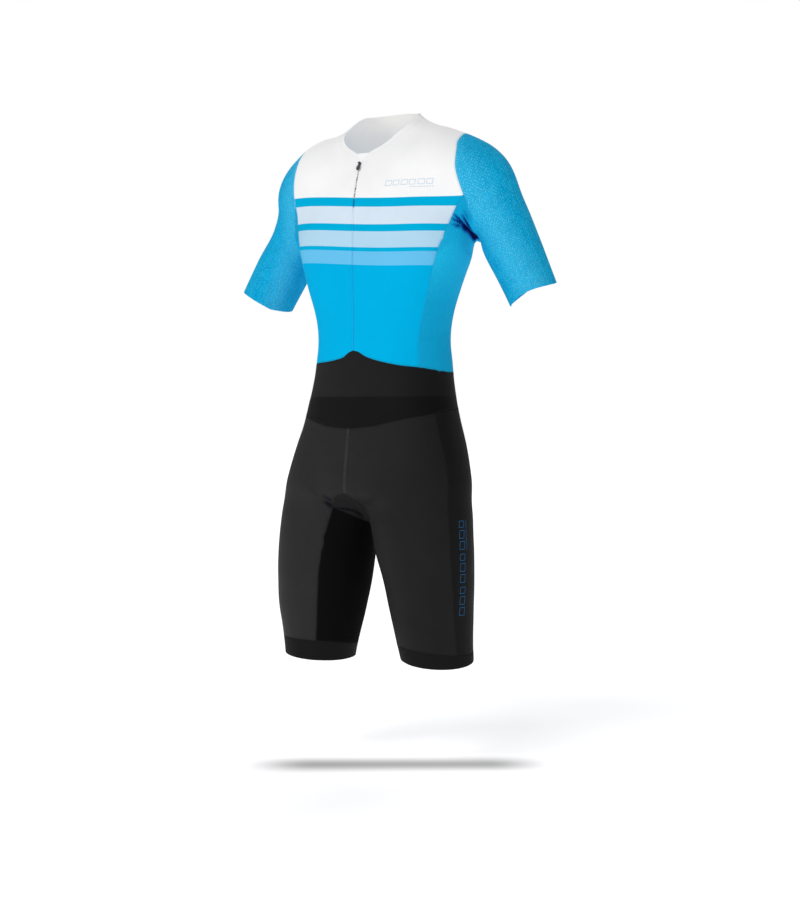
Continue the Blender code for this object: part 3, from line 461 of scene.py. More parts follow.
def add_sheet(skin, sheet, number):
    copies = {}
    for face in sheet:
        corners = []
        for corner in face.verts:
            if corner not in copies:
                copies[corner] = skin.verts.new(corner.co)
            corners.append(copies[corner])
        skin.faces.new(corners).material_index = number


def to_quads(bm):
    bmesh.ops.join_triangles(
        bm, faces=bm.faces, cmp_seam=False, cmp_sharp=False, cmp_uvs=False, cmp_vcols=False,
        cmp_materials=True, angle_face_threshold=QUAD_BEND, angle_shape_threshold=math.pi,
    )


def outer_skin():
    """The outside of every cloth node as one welded sheet, each face with its node's number."""
    whole = bmesh.new()
    for name in CLOTH:
        whole.from_mesh(NODES[name].data)
    tree = BVHTree.FromBMesh(whole)
    whole.free()
    skin = bmesh.new()
    for number, name in enumerate(CLOTH):
        bm = node_mesh(name)
        add_sheet(skin, min(two_layers(bm), key=lambda sheet: cast_share(sheet, tree)), number)
        bm.free()
    bmesh.ops.remove_doubles(skin, verts=skin.verts, dist=SEAM_GAP)
    open_points = [v for v in skin.verts if v.is_boundary]
    bmesh.ops.remove_doubles(skin, verts=open_points, dist=SLIT_GAP)
    to_quads(skin)
    return skin


def smoothed(bm, levels):
    """The mesh that a Subdivision Surface makes of bm, with its points on the limit surface."""
    mesh = bpy.data.meshes.new("cage")
    bm.to_mesh(mesh)
    cage = linked("cage", mesh)
    rounder = cage.modifiers.new("rounder", "SUBSURF")
    rounder.levels = levels
    rounder.use_limit_surface = True
    rounder.boundary_smooth = "PRESERVE_CORNERS"
    graph = bpy.context.evaluated_depsgraph_get()
    made = bpy.data.meshes.new_from_object(cage.evaluated_get(graph))
    bpy.data.objects.remove(cage)
    bpy.data.meshes.remove(mesh)
    return made


def points_of(mesh):
    values = np.empty(3 * len(mesh.vertices))
    mesh.vertices.foreach_get("co", values)
    return values.reshape(-1, 3)


def whole_numbers(items, what):
    """A whole number of every item, such as the point of every corner."""
    values = np.empty(len(items), int)
    items.foreach_get(what, values)
    return values


def quads_of(mesh):
    return whole_numbers(mesh.loops, "vertex_index").reshape(-1, 4)


def unit(vectors):
    return vectors / np.maximum(np.linalg.norm(vectors, axis=-1, keepdims=True), 1e-12)


def face_areas(points, quads):
    """Each quad's normal, as long as twice its area."""
    corner = points[quads]
    return np.cross(corner[:, 2] - corner[:, 0], corner[:, 3] - corner[:, 1])


def fit(bm):
    """Moves the cage until its limit surface passes through the points that it was made from."""
    goal = np.array([v.co for v in bm.verts])
    cage = goal.copy()
    for _ in range(FIT_ROUNDS):
        made = smoothed(bm, 1)
        cage += goal - points_of(made)[: len(goal)]
        bpy.data.meshes.remove(made)
        for vertex, place in zip(bm.verts, cage):
            vertex.co = place


class Skin:
    """A fine quad sheet: points, normals, quads and the panel that each quad belongs to."""

    def __init__(self, bm, levels):
        fit(bm)
        mesh = smoothed(bm, levels)
        self.points = points_of(mesh)
        self.quads = quads_of(mesh)
        self.panel = whole_numbers(mesh.polygons, "material_index")
        bpy.data.meshes.remove(mesh)
        # how much shade the creases paint on each point
        self.painted_crease_shade = np.zeros(len(self.points))
        self.find_edges()
        self.refresh()

    def find_edges(self):
        """Fills seams, the edges between each pair of panels, and rims, the open edges."""
        sides = np.stack([self.quads, np.roll(self.quads, -1, axis=1)], axis=-1).reshape(-1, 2)
        owner = np.repeat(self.panel, 4)
        keys = np.sort(sides, axis=1)
        order = np.lexsort((keys[:, 1], keys[:, 0]))
        keys, owner = keys[order], owner[order]
        same = np.all(keys[1:] == keys[:-1], axis=1)
        first = np.flatnonzero(same)
        paired = np.zeros(len(keys), bool)
        paired[first] = paired[first + 1] = True
        self.rims = [tuple(e) for e in keys[~paired].tolist()]
        self.seams = {}
        for i in first[owner[first] != owner[first + 1]]:
            pair = tuple(sorted((CLOTH[owner[i]], CLOTH[owner[i + 1]])))
            self.seams.setdefault(pair, []).append(tuple(keys[i].tolist()))

    def refresh(self):
        """Works out the normals and the search tree again after the points have moved."""
        face = face_areas(self.points, self.quads)
        total = np.zeros_like(self.points)
        for k in range(4):
            np.add.at(total, self.quads[:, k], face)
        self.normals = unit(total)
        self.tree = BVHTree.FromPolygons(self.points.tolist(), self.quads.tolist())

    def nearest(self, point):
        """The place on the skin nearest to a point, and the smooth normal there."""
        place, _, face, _ = self.tree.find_nearest(point)
        corners = self.quads[face]
        weight = 1 / (np.linalg.norm(self.points[corners] - np.array(place), axis=1) + 1e-5)
        normal = weight @ self.normals[corners]
        return np.array(place), normal / np.linalg.norm(normal)

    def met(self, start, ahead, distance):
        """Where a line of sight meets the skin, or the nearest place to where it should."""
        hit = self.tree.ray_cast(start, ahead)[0]
        return np.array(self.nearest(start + distance * ahead)[0] if hit is None else hit)

    def seen_at(self, pixel):
        """The place that shows at a pixel of the photograph's frame."""
        return self.met(camera_place, sight(pixel), CAMERA_DISTANCE)

    def seen_from(self, azimuth, across, height):
        """The place met when one looks level at the suit from an azimuth, across and up in metres."""
        right, ahead = looking(azimuth)
        start = float(across) * right + float(height) * UP - LOOK_FROM * ahead
        return self.met(start, ahead, LOOK_FROM)


def chains(edges):
    """Edges joined end to end into runs of points; a closed run ends with its first point."""
    links = {}
    for a, b in edges:
        links.setdefault(a, []).append(b)
        links.setdefault(b, []).append(a)
    used, runs = set(), []
    starts = [p for p, others in links.items() if len(others) != 2] + list(links)
    for start in starts:
        for step in links[start]:
            if (start, step) in used:
                continue
            run, here, ahead = [start], start, step
            while (here, ahead) not in used:
                used.update({(here, ahead), (ahead, here)})
                run.append(ahead)
                onward = [p for p in links[ahead] if p != here]
                if len(links[ahead]) != 2:
                    break
                here, ahead = ahead, onward[0] if onward else here
            if len(run) > 2:
                runs.append(run)
    return runs


skin = Skin(outer_skin(), SKIN_LEVELS)

SEAM_DEPTH, SEAM_WIDTH, SEAM_SHOULDER = 0.35 * MM, 1.9 * MM, 0.12 * MM
SHOULDER_AWAY = 2.2         # where the raised cloth beside a seam is highest, in widths


def groove(points, depth, width, shoulder):
    """Sinks the skin along some of its points, and lifts it a little on both sides."""
    lookup = KDTree(len(points))
    for i, point in enumerate(points):
        lookup.insert(point, i)
    lookup.balance()
    reach = np.array([lookup.find(point)[2] for point in skin.points])
    trough = -depth * np.exp(-((reach / width) ** 2))
    lip = shoulder * np.exp(-(((reach - SHOULDER_AWAY * width) / width) ** 2))
    skin.points += (trough + lip)[:, None] * skin.normals


PHOTO = "photo"
CREASE_POINTS = 15
SHORT_PART = 0.02           # a crease whose peak is this near an end is at full depth up to that end
LIP_AWAY = 1.9              # where the lips are, in widths
SHADE_GAIN = 1.5
FADE_POWER = 1.2            # how fast a crease fades towards its ends
CREASE_REACH = 4            # how far a crease moves the cloth, in widths


class Crease:
    """A soft trough in the skin along a bent line, deepest at `peak` of its length, with lips beside it.

    Its ends are pixels of the photograph, or mm across and up as seen level from an azimuth. Depth
    and width are in mm, bow is a share of its length, and shade is how much shade is painted along it."""

    def __init__(self, azimuth, start, end, depth, width, bow=0.0, peak=0.5, shade=0.0, lip=0.35):
        self.depth, self.width = depth * MM, width * MM
        self.peak, self.lip, self.shade = peak, lip, shade
        start, end = np.array(start, float), np.array(end, float)
        aside = np.array([-(end - start)[1], (end - start)[0]])
        middle = (start + end) / 2 + bow * aside
        steps = np.linspace(0, 1, CREASE_POINTS)[:, None]
        line = (1 - steps) ** 2 * start + 2 * steps * (1 - steps) * middle + steps**2 * end
        if azimuth == PHOTO:
            self.line = np.array([skin.seen_at(spot) for spot in line])
        else:
            self.line = np.array([skin.seen_from(azimuth, *(spot * MM)) for spot in line])

    def lift(self, points):
        """How far each point rises, and how much shade is painted on it."""
        best = np.full(len(points), np.inf)
        along = np.zeros(len(points))
        count = len(self.line) - 1
        for i, (a, b) in enumerate(zip(self.line[:-1], self.line[1:])):
            span = b - a
            part = np.clip((points - a) @ span / max(span @ span, 1e-12), 0, 1)
            gap = np.linalg.norm(points - a - part[:, None] * span, axis=1)
            closer = gap < best
            best[closer], along[closer] = gap[closer], (i + part[closer]) / count
        before, after = self.peak, 1 - self.peak
        rise = np.clip(along / before, 0, 1) if before > SHORT_PART else np.ones_like(along)
        fall = np.clip((1 - along) / after, 0, 1) if after > SHORT_PART else np.ones_like(along)
        strength = np.sin(np.minimum(rise, fall) * math.pi / 2) ** FADE_POWER
        across = best / self.width
        trough = np.exp(-(across**2))
        lips = self.lip * np.exp(-((across - LIP_AWAY) ** 2))
        shade = np.minimum(1.0, SHADE_GAIN * self.shade * strength * trough)
        return self.depth * strength * (lips - trough), shade


def press(creases):
    """Moves the skin by a list of creases, all at once, and keeps the most shade painted on each point by
    any crease.
    """
    total = np.zeros(len(skin.points))
    for crease in creases:
        reach = CREASE_REACH * crease.width
        low, high = crease.line.min(axis=0) - reach, crease.line.max(axis=0) + reach
        near = np.flatnonzero(np.all((skin.points > low) & (skin.points < high), axis=1))
        lift, shade = crease.lift(skin.points[near])
        total[near] += lift
        skin.painted_crease_shade[near] = np.maximum(skin.painted_crease_shade[near], shade)
    skin.points += total[:, None] * skin.normals


def raise_armpit(place, height, lift, across, upright, aside=(1, 0)):
    """Draws the cloth under the left arm up, most at a place along `aside` and at a height."""
    away = (skin.points[:, :2] @ np.array(aside) - place) / across
    above = (skin.points[:, 2] - height) / upright
    skin.points[:, 2] += lift * np.exp(-(away**2 + above**2))


CUFF_FROM = 0.262           # open edges this far out are a cuff
FOREARM_FROM = 0.21         # cloth this far out may move with the cuff
SHOULDER = (0.150, -0.130)  # across and up: where the arm's line starts
CUFF_TRIM = 17 * MM         # how much shorter a sleeve is behind the arm
CUFF_REACH = 75 * MM        # how far above the cuff the cloth moves
CUFF_CURVE = 0.8            # how fast the cut gets deeper round the arm


def trim_cuff(sign):
    """Cuts a sleeve a little shorter behind the arm, and eases the cloth above the cut with it."""
    points = skin.points
    rim = np.array(sorted({p for edge in skin.rims for p in edge}))
    rim = rim[points[rim, 0] * sign > CUFF_FROM]
    middle = points[rim].mean(axis=0)
    arm = unit(middle - np.array([SHOULDER[0] * sign, middle[1], SHOULDER[1]]))
    behind = np.array([view_ahead[0] * sign, view_ahead[1], 0])
    behind = unit(behind - arm * (behind @ arm))
    radius = ((points[rim] - middle) @ behind).max()
    above = -(points - middle) @ arm
    near = np.flatnonzero((points[:, 0] * sign > FOREARM_FROM) & (above < CUFF_REACH))
    share = np.clip((points[near] - middle) @ behind / radius, 0, 1) ** CUFF_CURVE
    fade = np.clip(1 - np.maximum(above[near], 0) / CUFF_REACH, 0, 1)
    points[near] -= (CUFF_TRIM * share * fade)[:, None] * arm


raise_armpit(0.195, -0.244, 13 * MM, 14 * MM, 18 * MM)
raise_armpit(0.200, -0.236, 8 * MM, 7 * MM, 13 * MM)
raise_armpit(0.1665, -0.240, 8 * MM, 5.5 * MM, 13 * MM, aside=view_right.xy)
for sign in SIDES.values():
    trim_cuff(sign)
skin.refresh()

# Each fold: start, end, depth, width, bow, peak, how much shade is painted in it, and how high its lips
# are.
# The ends of the first ones are pixels of the photograph. Those of the left armpit run from its
# lowest point up to where they fade on the chest.
ARMPIT = (477.0, 240.0)
ARMPIT_FOLDS = [
    (ARMPIT, (458, 221.5), 3.0, 4.8, 0.02, 0.08, 1.2, 0.12),
    ((473.5, 236.5), (460, 223), 1.6, 4.8, 0.0, 0.45, 1.0, 0.1),
    ((468, 231), (452, 212.5), 2.6, 2.0, 0.05, 0.35, 0.95),
    ((474, 234), (461, 213), 2.4, 2.2, -0.05, 0.45, 0.85),
    ((463, 226), (450, 218), 1.6, 1.7, 0.08, 0.4, 0.75),
    ((464, 228), (450, 224.5), 1.5, 1.6, 0.10, 0.4, 0.6),
    ((461, 228), (453, 228), 1.0, 1.6, 0.1, 0.4, 0.35),
    ((470, 224), (463, 208), 1.0, 2.6, -0.04, 0.5, 0.2),
]
GROIN_FOLDS = [
    ((322.5, 500.5), (334, 508.5), 1.8, 3.6, -0.06, 0.6, 0.75),
    ((320, 494), (333, 503), 1.0, 4.0, -0.05, 0.6, 0.35),
    ((333, 508), (362, 512), 0.8, 2.6, -0.04, 0.5, 0.8, 0.1),
    ((352, 510), (364, 517), 1.0, 2.6, -0.1, 0.6, 0.7, 0.1),
    ((364, 505), (386, 489), 0.9, 7.0, 0.06, 0.25, 0.08),
    ((323, 498), (303, 480), 0.8, 7.0, -0.06, 0.3, 0.08),
]
# Softer ones of the chest, waist, sleeves and legs. In the photograph they are only shading.
FRONT_FOLDS = [
    ((446, 206), (424, 190), 0.8, 8.0, 0.05, 0.4),
    ((452, 236), (430, 256), 0.8, 7.0, -0.1, 0.35, 0.05),
    ((300, 226), (318, 208), 0.8, 8.0, 0.05, 0.4),
    ((304, 252), (324, 262), 0.6, 7.0, 0.08, 0.3),
    ((450, 332), (424, 340), 0.7, 7.0, 0.08, 0.35),
    ((451, 352), (432, 356), 0.6, 6.0, -0.06, 0.3),
    ((322, 336), (340, 342), 0.6, 6.0, -0.08, 0.35),
    ((504, 262), (524, 246), 0.9, 7.0, 0.10, 0.35),
    ((512, 292), (530, 280), 0.6, 6.0, -0.08, 0.4),
    ((492, 226), (510, 214), 0.7, 7.0, 0.08, 0.4),
    ((262, 262), (276, 276), 0.8, 6.0, 0.08, 0.5),
    ((282, 236), (270, 246), 0.6, 6.0, -0.06, 0.4),
    ((308, 420), (326, 436), 0.5, 8.0, 0.06, 0.4),
    ((440, 420), (424, 440), 0.5, 8.0, 0.05, 0.5),
    ((366, 540), (392, 528), 0.5, 7.0, 0.08, 0.4),
    ((322, 560), (300, 548), 0.4, 8.0, 0.06, 0.5),
    ((392, 606), (412, 612), 0.4, 6.0, 0.06, 0.4),
]
# The same kind of folds on the sides that the photograph hides, by the azimuth they are seen from.
HIDDEN_FOLDS = [
    (-40, [
        ((-128, -236), (-104, -204), 2.4, 3.4, 0.0, 0.25, 0.3),
        ((-126, -226), (-92, -196), 1.4, 2.8, 0.06, 0.3, 0.2),
        ((-128, -240), (-96, -222), 1.2, 2.4, -0.06, 0.3, 0.25),
    ]),
    (215, [
        ((136, -232), (106, -196), 2.0, 3.6, 0.0, 0.25, 0.18),
        ((134, -224), (92, -182), 1.2, 3.0, -0.08, 0.3, 0.15),
    ]),
    (145, [
        ((-138, -236), (-104, -200), 1.9, 3.6, 0.04, 0.25, 0.18),
        ((-134, -228), (-90, -188), 1.1, 3.0, 0.1, 0.3, 0.15),
    ]),
    (180, [
        ((-92, -352), (-36, -340), 0.9, 7.0, 0.08, 0.35),
        ((96, -372), (30, -356), 1.0, 7.0, -0.07, 0.3),
        ((-100, -402), (-28, -392), 0.9, 6.0, 0.06, 0.4),
        ((88, -418), (40, -410), 0.7, 6.0, -0.08, 0.4),
        ((-20, -330), (22, -322), 0.5, 7.0, 0.1, 0.5),
        ((-60, -120), (-92, -170), 0.8, 9.0, 0.07, 0.5),
        ((64, -128), (98, -180), 0.8, 9.0, -0.07, 0.5),
        ((-128, -742), (-44, -752), 1.5, 6.5, -0.10, 0.45, 0.12),
        ((128, -748), (46, -756), 1.4, 6.5, 0.10, 0.45, 0.12),
        ((-120, -768), (-60, -778), 0.8, 5.5, -0.08, 0.4),
        ((112, -780), (66, -784), 0.7, 5.5, 0.08, 0.4),
        ((14, -716), (40, -744), 1.0, 4.0, 0.05, 0.3, 0.2),
        ((-14, -714), (-38, -744), 1.0, 4.0, -0.05, 0.3, 0.2),
    ]),
    (-30, [((20, -700), (54, -668), 0.7, 8.0, -0.06, 0.3)]),
    (-90, [
        ((-40, -860), (20, -872), 0.5, 7.0, 0.08, 0.5),
        ((-30, -300), (12, -316), 0.7, 7.0, 0.08, 0.5),
        ((-50, -372), (10, -384), 0.7, 6.0, 0.06, 0.5),
    ]),
    (215, [((-12, -262), (32, -244), 0.9, 6.0, 0.1, 0.4)]),
    (120, [((40, -262), (4, -244), 0.9, 6.0, -0.1, 0.4)]),
    (-110, [((-14, -250), (36, -232), 0.9, 6.0, 0.1, 0.4)]),
]

SEAM_POINTS = sorted({p for edges in skin.seams.values() for edge in edges for p in edge})
groove(skin.points[SEAM_POINTS], SEAM_DEPTH, SEAM_WIDTH, SEAM_SHOULDER)
FOLDS = [(PHOTO, ARMPIT_FOLDS + GROIN_FOLDS + FRONT_FOLDS)] + HIDDEN_FOLDS
press([Crease(azimuth, *fold) for azimuth, folds in FOLDS for fold in folds])
skin.refresh()

# ---------------- panels

TORSO_AXIS = ((0, 0, 0), (0, 0, 1))      # a place on each axis, and its direction
ARM_AXIS = ((0.190, 0.030, -0.150), (0.118, -0.010, -0.240))
LEG_AXIS = ((0.100, -0.024, -0.700), (0.035, -0.002, -0.290))
CROTCH_AXIS = ((0, 0, -0.5), (0, 1, 0))
TORSO_RADIUS, LEG_RADIUS = 0.150, 0.085
AHEAD, BEHIND, ASIDE, MIDWARD = (0, -1, 0), (0, 1, 0), (1, 0, 0), (-1, 0, 0)
# each panel's material outside and inside, then how its cloth's own measures run: the axis they
# go round, the direction in which they are zero, and the radius
LOOKS = {
    "front": ("print", "white_inside", TORSO_AXIS, AHEAD, TORSO_RADIUS),
    "side": ("side", "cyan_inside", TORSO_AXIS, ASIDE, TORSO_RADIUS),
    "back": ("print", "white_inside", TORSO_AXIS, BEHIND, TORSO_RADIUS),
    "sleeve": ("sleeve", "cyan_inside", ARM_AXIS, AHEAD, SLEEVE_RADIUS),
    "waist_front": ("waist", "black_inside", TORSO_AXIS, AHEAD, TORSO_RADIUS),
    "waist_back": ("waist", "black_inside", TORSO_AXIS, BEHIND, TORSO_RADIUS),
    "short_front": ("shorts", "black_inside", LEG_AXIS, AHEAD, LEG_RADIUS),
    "short_back": ("shorts_back", "black_inside", LEG_AXIS, (0.7, 0.7, 0), LEG_RADIUS),
    "inner_leg": ("inner_leg", "black_inside", LEG_AXIS, MIDWARD, LEG_RADIUS),
    "crotch_gusset": ("gusset", "black_inside", CROTCH_AXIS, ASIDE, LEG_RADIUS),
    "leg_band": ("leg_band", "black_inside", LEG_AXIS, AHEAD, LEG_RADIUS),
}


def base_name(name):
    return name.rsplit("_", 1)[0] if name.endswith(("_left", "_right")) else name


def mirrored(triple, sign):
    return np.array([triple[0] * sign, triple[1], triple[2]], float)


def lay_cloth(mesh, spots):
    """Says where each corner of each face is on the cloth, in metres."""
    layer = mesh.uv_layers.new(name="cloth")
    layer.data.foreach_set("uv", spots.astype(np.float32).ravel())


def cloth_map(mesh, name):
    """Measures a panel's cloth round its axis from the zero direction, and along the axis."""
    (centre, axis), zero, radius = LOOKS[base_name(name)][2:]
    sign = -1 if name.endswith("_right") else 1
    centre, axis, zero = (mirrored(t, sign) for t in (centre, axis, zero))
    axis = unit(axis)
    zero = unit(zero - (zero @ axis) * axis)
    aside = np.cross(axis, zero)
    out = points_of(mesh) - centre
    angle = np.arctan2(out @ aside, out @ zero)
    corners = whole_numbers(mesh.loops, "vertex_index")
    starts = whole_numbers(mesh.polygons, "loop_start")
    sizes = whole_numbers(mesh.polygons, "loop_total")
    turn = angle[corners]
    first = np.repeat(turn[starts], sizes)
    turn += 2 * math.pi * np.round((first - turn) / (2 * math.pi))
    lay_cloth(mesh, np.stack([turn * radius, (out @ axis)[corners]], axis=-1))


def mesh_of(name, points, faces, painted_crease_shade=None):
    """A new object; its last argument says how much shade is painted on each point in a crease."""
    mesh = bpy.data.meshes.new(name)
    mesh.from_pydata(points, [], faces)
    mesh.update()
    if painted_crease_shade is not None:
        layer = mesh.attributes.new("painted_crease_shade", "FLOAT", "POINT")
        layer.data.foreach_set("value", np.asarray(painted_crease_shade, np.float32))
    return linked(name, mesh)


def finished(made):
    """Applies a piece's modifiers, in place of its mesh."""
    graph = bpy.context.evaluated_depsgraph_get()
    mesh = bpy.data.meshes.new_from_object(made.evaluated_get(graph))
    made.modifiers.clear()
    old, made.data = made.data, mesh
    bpy.data.meshes.remove(old)


def shell(name, points, quads, outside, inside, painted_crease_shade=None, thickness=SHELL):
    """A thin closed shell: the given sheet outside, and a second one `thickness` under it."""
    made = mesh_of(name, points.tolist(), quads.tolist(), painted_crease_shade)
    made.data.materials.append(outside)
    made.data.materials.append(inside)
    solid = made.modifiers.new("solid", "SOLIDIFY")
    solid.thickness, solid.offset = thickness, -1
    solid.use_quality_normals = True
    solid.material_offset, solid.material_offset_rim = 1, 0
    finished(made)
    made.data.shade_smooth()
    made.data.set_sharp_from_angle(angle=SHARP_FROM)
    return made


def make_panel(number, name):
    quads = skin.quads[skin.panel == number]
    used, local = np.unique(quads, return_inverse=True)
    points, quads = skin.points[used], local.reshape(-1, 4)
    outside, inside = (MATERIALS[look] for look in LOOKS[base_name(name)][:2])
    made = shell(name + "_cloth", points, quads, outside, inside, skin.painted_crease_shade[used])
    cloth_map(made.data, name)
    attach(made, "suit")
    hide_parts(name)


for number, name in enumerate(CLOTH):
    make_panel(number, name)

# ---------------- stitching

THREAD_RADIUS = 0.24 * MM
STITCH = 2.0 * MM
STITCH_PITCH = 2.8 * MM
ROW_OFFSET = 2.3 * MM                  # from a seam to the row on each side of it
STITCH_SINK, STITCH_RISE = 0.8, 0.35   # the ends below the cloth and the middle above it, in radii
LOOPER_REACH = 0.8 * ROW_OFFSET
LOOPER_SLANT = 0.3 * STITCH_PITCH
HEM_OFFSETS = (7.9 * MM, 9.5 * MM)     # from the neck's edge to its two rows
NECK_OPEN_BELOW = -0.0695              # the neck's edge runs down the open zip from here


def thread(name, shade):
    specks, grain = (0.6 * MM, 1), (0.25 * MM, 1, 0.05 * MM, 0.5)
    return grainy(name, shade, dimmed(shade, 0.8), specks, grain, roughness=0.55, specular=0.3).material


THREADS = {
    "white": thread("thread_white", srgb(244, 246, 248)),
    "pale": thread("thread_pale", srgb(164, 224, 246)),
    "cyan": thread("thread_cyan", srgb(34, 178, 226)),
    "black": thread("thread_black", srgb(18, 18, 19)),
    "grey": thread("thread_grey", srgb(104, 104, 108)),
}


def thread_for(pair):
    kinds = {base_name(name) for name in pair}
    if "sleeve" in kinds:
        return "cyan" if "side" in kinds or len(kinds) == 1 else "pale"
    if kinds <= {"front", "back"}:
        return "white"
    if kinds <= {"front", "back", "side"}:
        return "cyan"
    if pair == ("short_front_left", "short_front_right"):
        return "grey"
    return "black"


def run_lengths(places):
    """How far along a line each of its places is."""
    return np.concatenate([[0], np.cumsum(np.linalg.norm(np.diff(places, axis=0), axis=1))])


def spread(at, lengths, values):
    """Triples known at some lengths along a line, at other lengths."""
    return np.stack([np.interp(at, lengths, values[:, k]) for k in range(3)], axis=-1)


def even_places(run):
    """Places one stitch apart along skin points, their normals, and the direction of the run."""
    places = skin.points[run]
    lengths = run_lengths(places)
    if lengths[-1] < 2 * STITCH_PITCH:
        return (np.empty((0, 3)),) * 3
    at = np.linspace(0, lengths[-1], max(3, round(lengths[-1] / STITCH_PITCH) + 1))
    even, up = spread(at, lengths, places), spread(at, lengths, skin.normals[run])
    return even, unit(up), unit(np.gradient(even, axis=0))


def on_skin(places):
    """The nearest places on the skin, with its normals."""
    found = [skin.nearest(place) for place in places]
    return np.array([f[0] for f in found]), np.array([f[1] for f in found])


def stitch_row(run, offset):
    """Starts, ends and normals of a row of stitches beside a run of skin points."""
    even, up, ahead = even_places(run)
    if not len(even):
        return even, even, even
    places, normals = on_skin(even + offset * np.cross(up, ahead))
    return places - ahead * STITCH / 2, places + ahead * STITCH / 2, normals


def looper_row(run):
    """The threads that cross a flat seam from one row of stitches to the other, a little slanted."""
    even, up, ahead = even_places(run)
    if not len(even):
        return even, even, even
    across = LOOPER_REACH * np.cross(up, ahead) + LOOPER_SLANT * ahead
    return on_skin(even - across)[0], on_skin(even + across)[0], up


def sewn(name, rows, material):
    """One object of short threads, thick in the middle and sunk into the cloth at both ends."""
    starts, ends, normals = (np.concatenate([row[k] for row in rows]) for k in range(3))
    aside = np.cross(normals, unit(ends - starts)) * THREAD_RADIUS
    up = normals * THREAD_RADIUS
    count = len(starts)
    points = np.empty((count, 10, 3))
    points[:, 0], points[:, 9] = starts - STITCH_SINK * up, ends - STITCH_SINK * up
    for k, share in enumerate((0.25, 0.75)):
        middle = starts + (ends - starts) * share + STITCH_RISE * up
        for j, (x, z) in enumerate(((1, 0), (0, 1), (-1, 0), (0, -1))):
            points[:, 1 + 4 * k + j] = middle + x * aside + z * up
    template = [(0, 1 + (j + 1) % 4, 1 + j) for j in range(4)]
    template += [(9, 5 + j, 5 + (j + 1) % 4) for j in range(4)]
    template += [(1 + j, 1 + (j + 1) % 4, 5 + (j + 1) % 4, 5 + j) for j in range(4)]
    faces = [[10 * i + corner for corner in face] for i in range(count) for face in template]
    made = mesh_of(name, points.reshape(-1, 3).tolist(), faces)
    made.data.materials.append(material)
    made.data.shade_smooth()
    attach(made, "suit")


def sew_seams():
    """Two rows of stitches and their crossing threads along every seam, by colour."""
    rows = {}
    for pair, edges in skin.seams.items():
        lines = rows.setdefault(thread_for(pair), [])
        for run in chains(edges):
            lines += [stitch_row(run, ROW_OFFSET), stitch_row(run, -ROW_OFFSET), looper_row(run)]
    return rows


def sew_neck(rows):
    """The narrow hem round the neck, sewn down with a pair of rows."""
    neck = max(chains(skin.rims), key=len)
    places = skin.points[neck]
    opened = (places[:, 1] < 0) & (places[:, 2] < NECK_OPEN_BELOW)
    first = np.flatnonzero(opened)[0]
    neck, opened = neck[first:] + neck[1:first + 1], np.roll(opened[:-1], -first)
    run = [p for p, is_open in zip(neck, opened) if not is_open]
    middle = skin.points[run].mean(axis=0)
    even, up, ahead = even_places(run)
    outward = np.sign(np.sum(np.cross(up, ahead) * (even - middle)))
    for offset in HEM_OFFSETS:
        rows["white"].append(stitch_row(run, outward * offset))


SEAM_ROWS = sew_seams()
sew_neck(SEAM_ROWS)
for colour, lines in SEAM_ROWS.items():
    sewn("stitches_" + colour, [line for line in lines if len(line[0])], THREADS[colour])

# ---------------- zip

TOOTH_PITCH = 1.3 * MM
TOOTH = (1.40 * MM, 0.45 * MM, 0.58 * MM)      # reach across, half depth and half height
TOOTH_OVERLAP = 0.25 * MM
TOOTH_TAPER = 0.8
TOOTH_SINK = 0.1 * MM
TOOTH_ROUND = 0.12 * MM
CHAIN_END = 1.0 * MM                            # from the ends of the coil to the first and last tooth
CHAIN_KNOTS = 12
TAPE_THICKNESS = 0.6 * MM
ZIP_PAINTED_LIGHT = 0.13                                 # painted light: a glow that lifts the shade of the tape, teeth and guard
COIL_DYED_FROM, COIL_BLUE_TO = -0.1565, -0.1725  # heights: no longer grey, and no longer blue


def woven_tape(name):
    """The zip's tape, which takes the print as the cloth beside it does."""
    s = Shader(name, roughness=0.8, specular=0.1)
    across, along = s.cloth_point()
    weave = s.times(wave(s, across, 0.9 * MM), wave(s, along, 0.7 * MM))
    colour = s.mix(s.remap(weave, -1.0, 1.0, 0.0, 0.04), print_colour(s), srgb(20, 90, 130))
    # painted light: the tape glows in its own colour
    s.set(Base_Color=colour, Emission_Color=colour)
    s.glow(ZIP_PAINTED_LIGHT)
    s.set(Normal=s.bump(weave, 0.1 * MM, 0.7))
    return s.material


def soft_guard(name):
    """The fleece of the little guard behind the zip's top."""
    specks, grain = (1.2 * MM, 3), (0.6 * MM, 3, 0.2 * MM, 0.6)
    shades = srgb(244, 244, 245), srgb(234, 234, 236)
    s = grainy(name, *shades, specks, grain, roughness=0.95, specular=0.05)
    # painted light: the guard glows
    s.glow(ZIP_PAINTED_LIGHT, srgb(244, 242, 240))
    return s.material


def coil_plastic(name):
    """Grey teeth under the slider, and teeth dyed like the cloth further down."""
    s = Shader(name, roughness=0.5, specular=0.2)
    z = s.place()[2]
    dyed = s.mix(0.03, print_colour(s), srgb(0, 60, 95))
    ends = (COIL_DYED_FROM, COIL_BLUE_TO)
    below_grey, below_blue = (s.remap(z, end - 1 * MM, end + 1 * MM, 1.0, 0.0) for end in ends)
    grey = s.speckled(3 * MM, 1, srgb(70, 72, 76), srgb(214, 215, 217), 0.40, 0.54)
    colour = s.mix(below_blue, s.mix(below_grey, grey, srgb(0, 104, 158)), dyed)
    # painted light: the teeth glow in their own colour
    s.set(Base_Color=colour, Emission_Color=colour)
    s.glow(ZIP_PAINTED_LIGHT)
    s.set(Normal=s.bump(s.noise(0.4 * MM, 1), 0.03 * MM, 0.5))
    return s.material


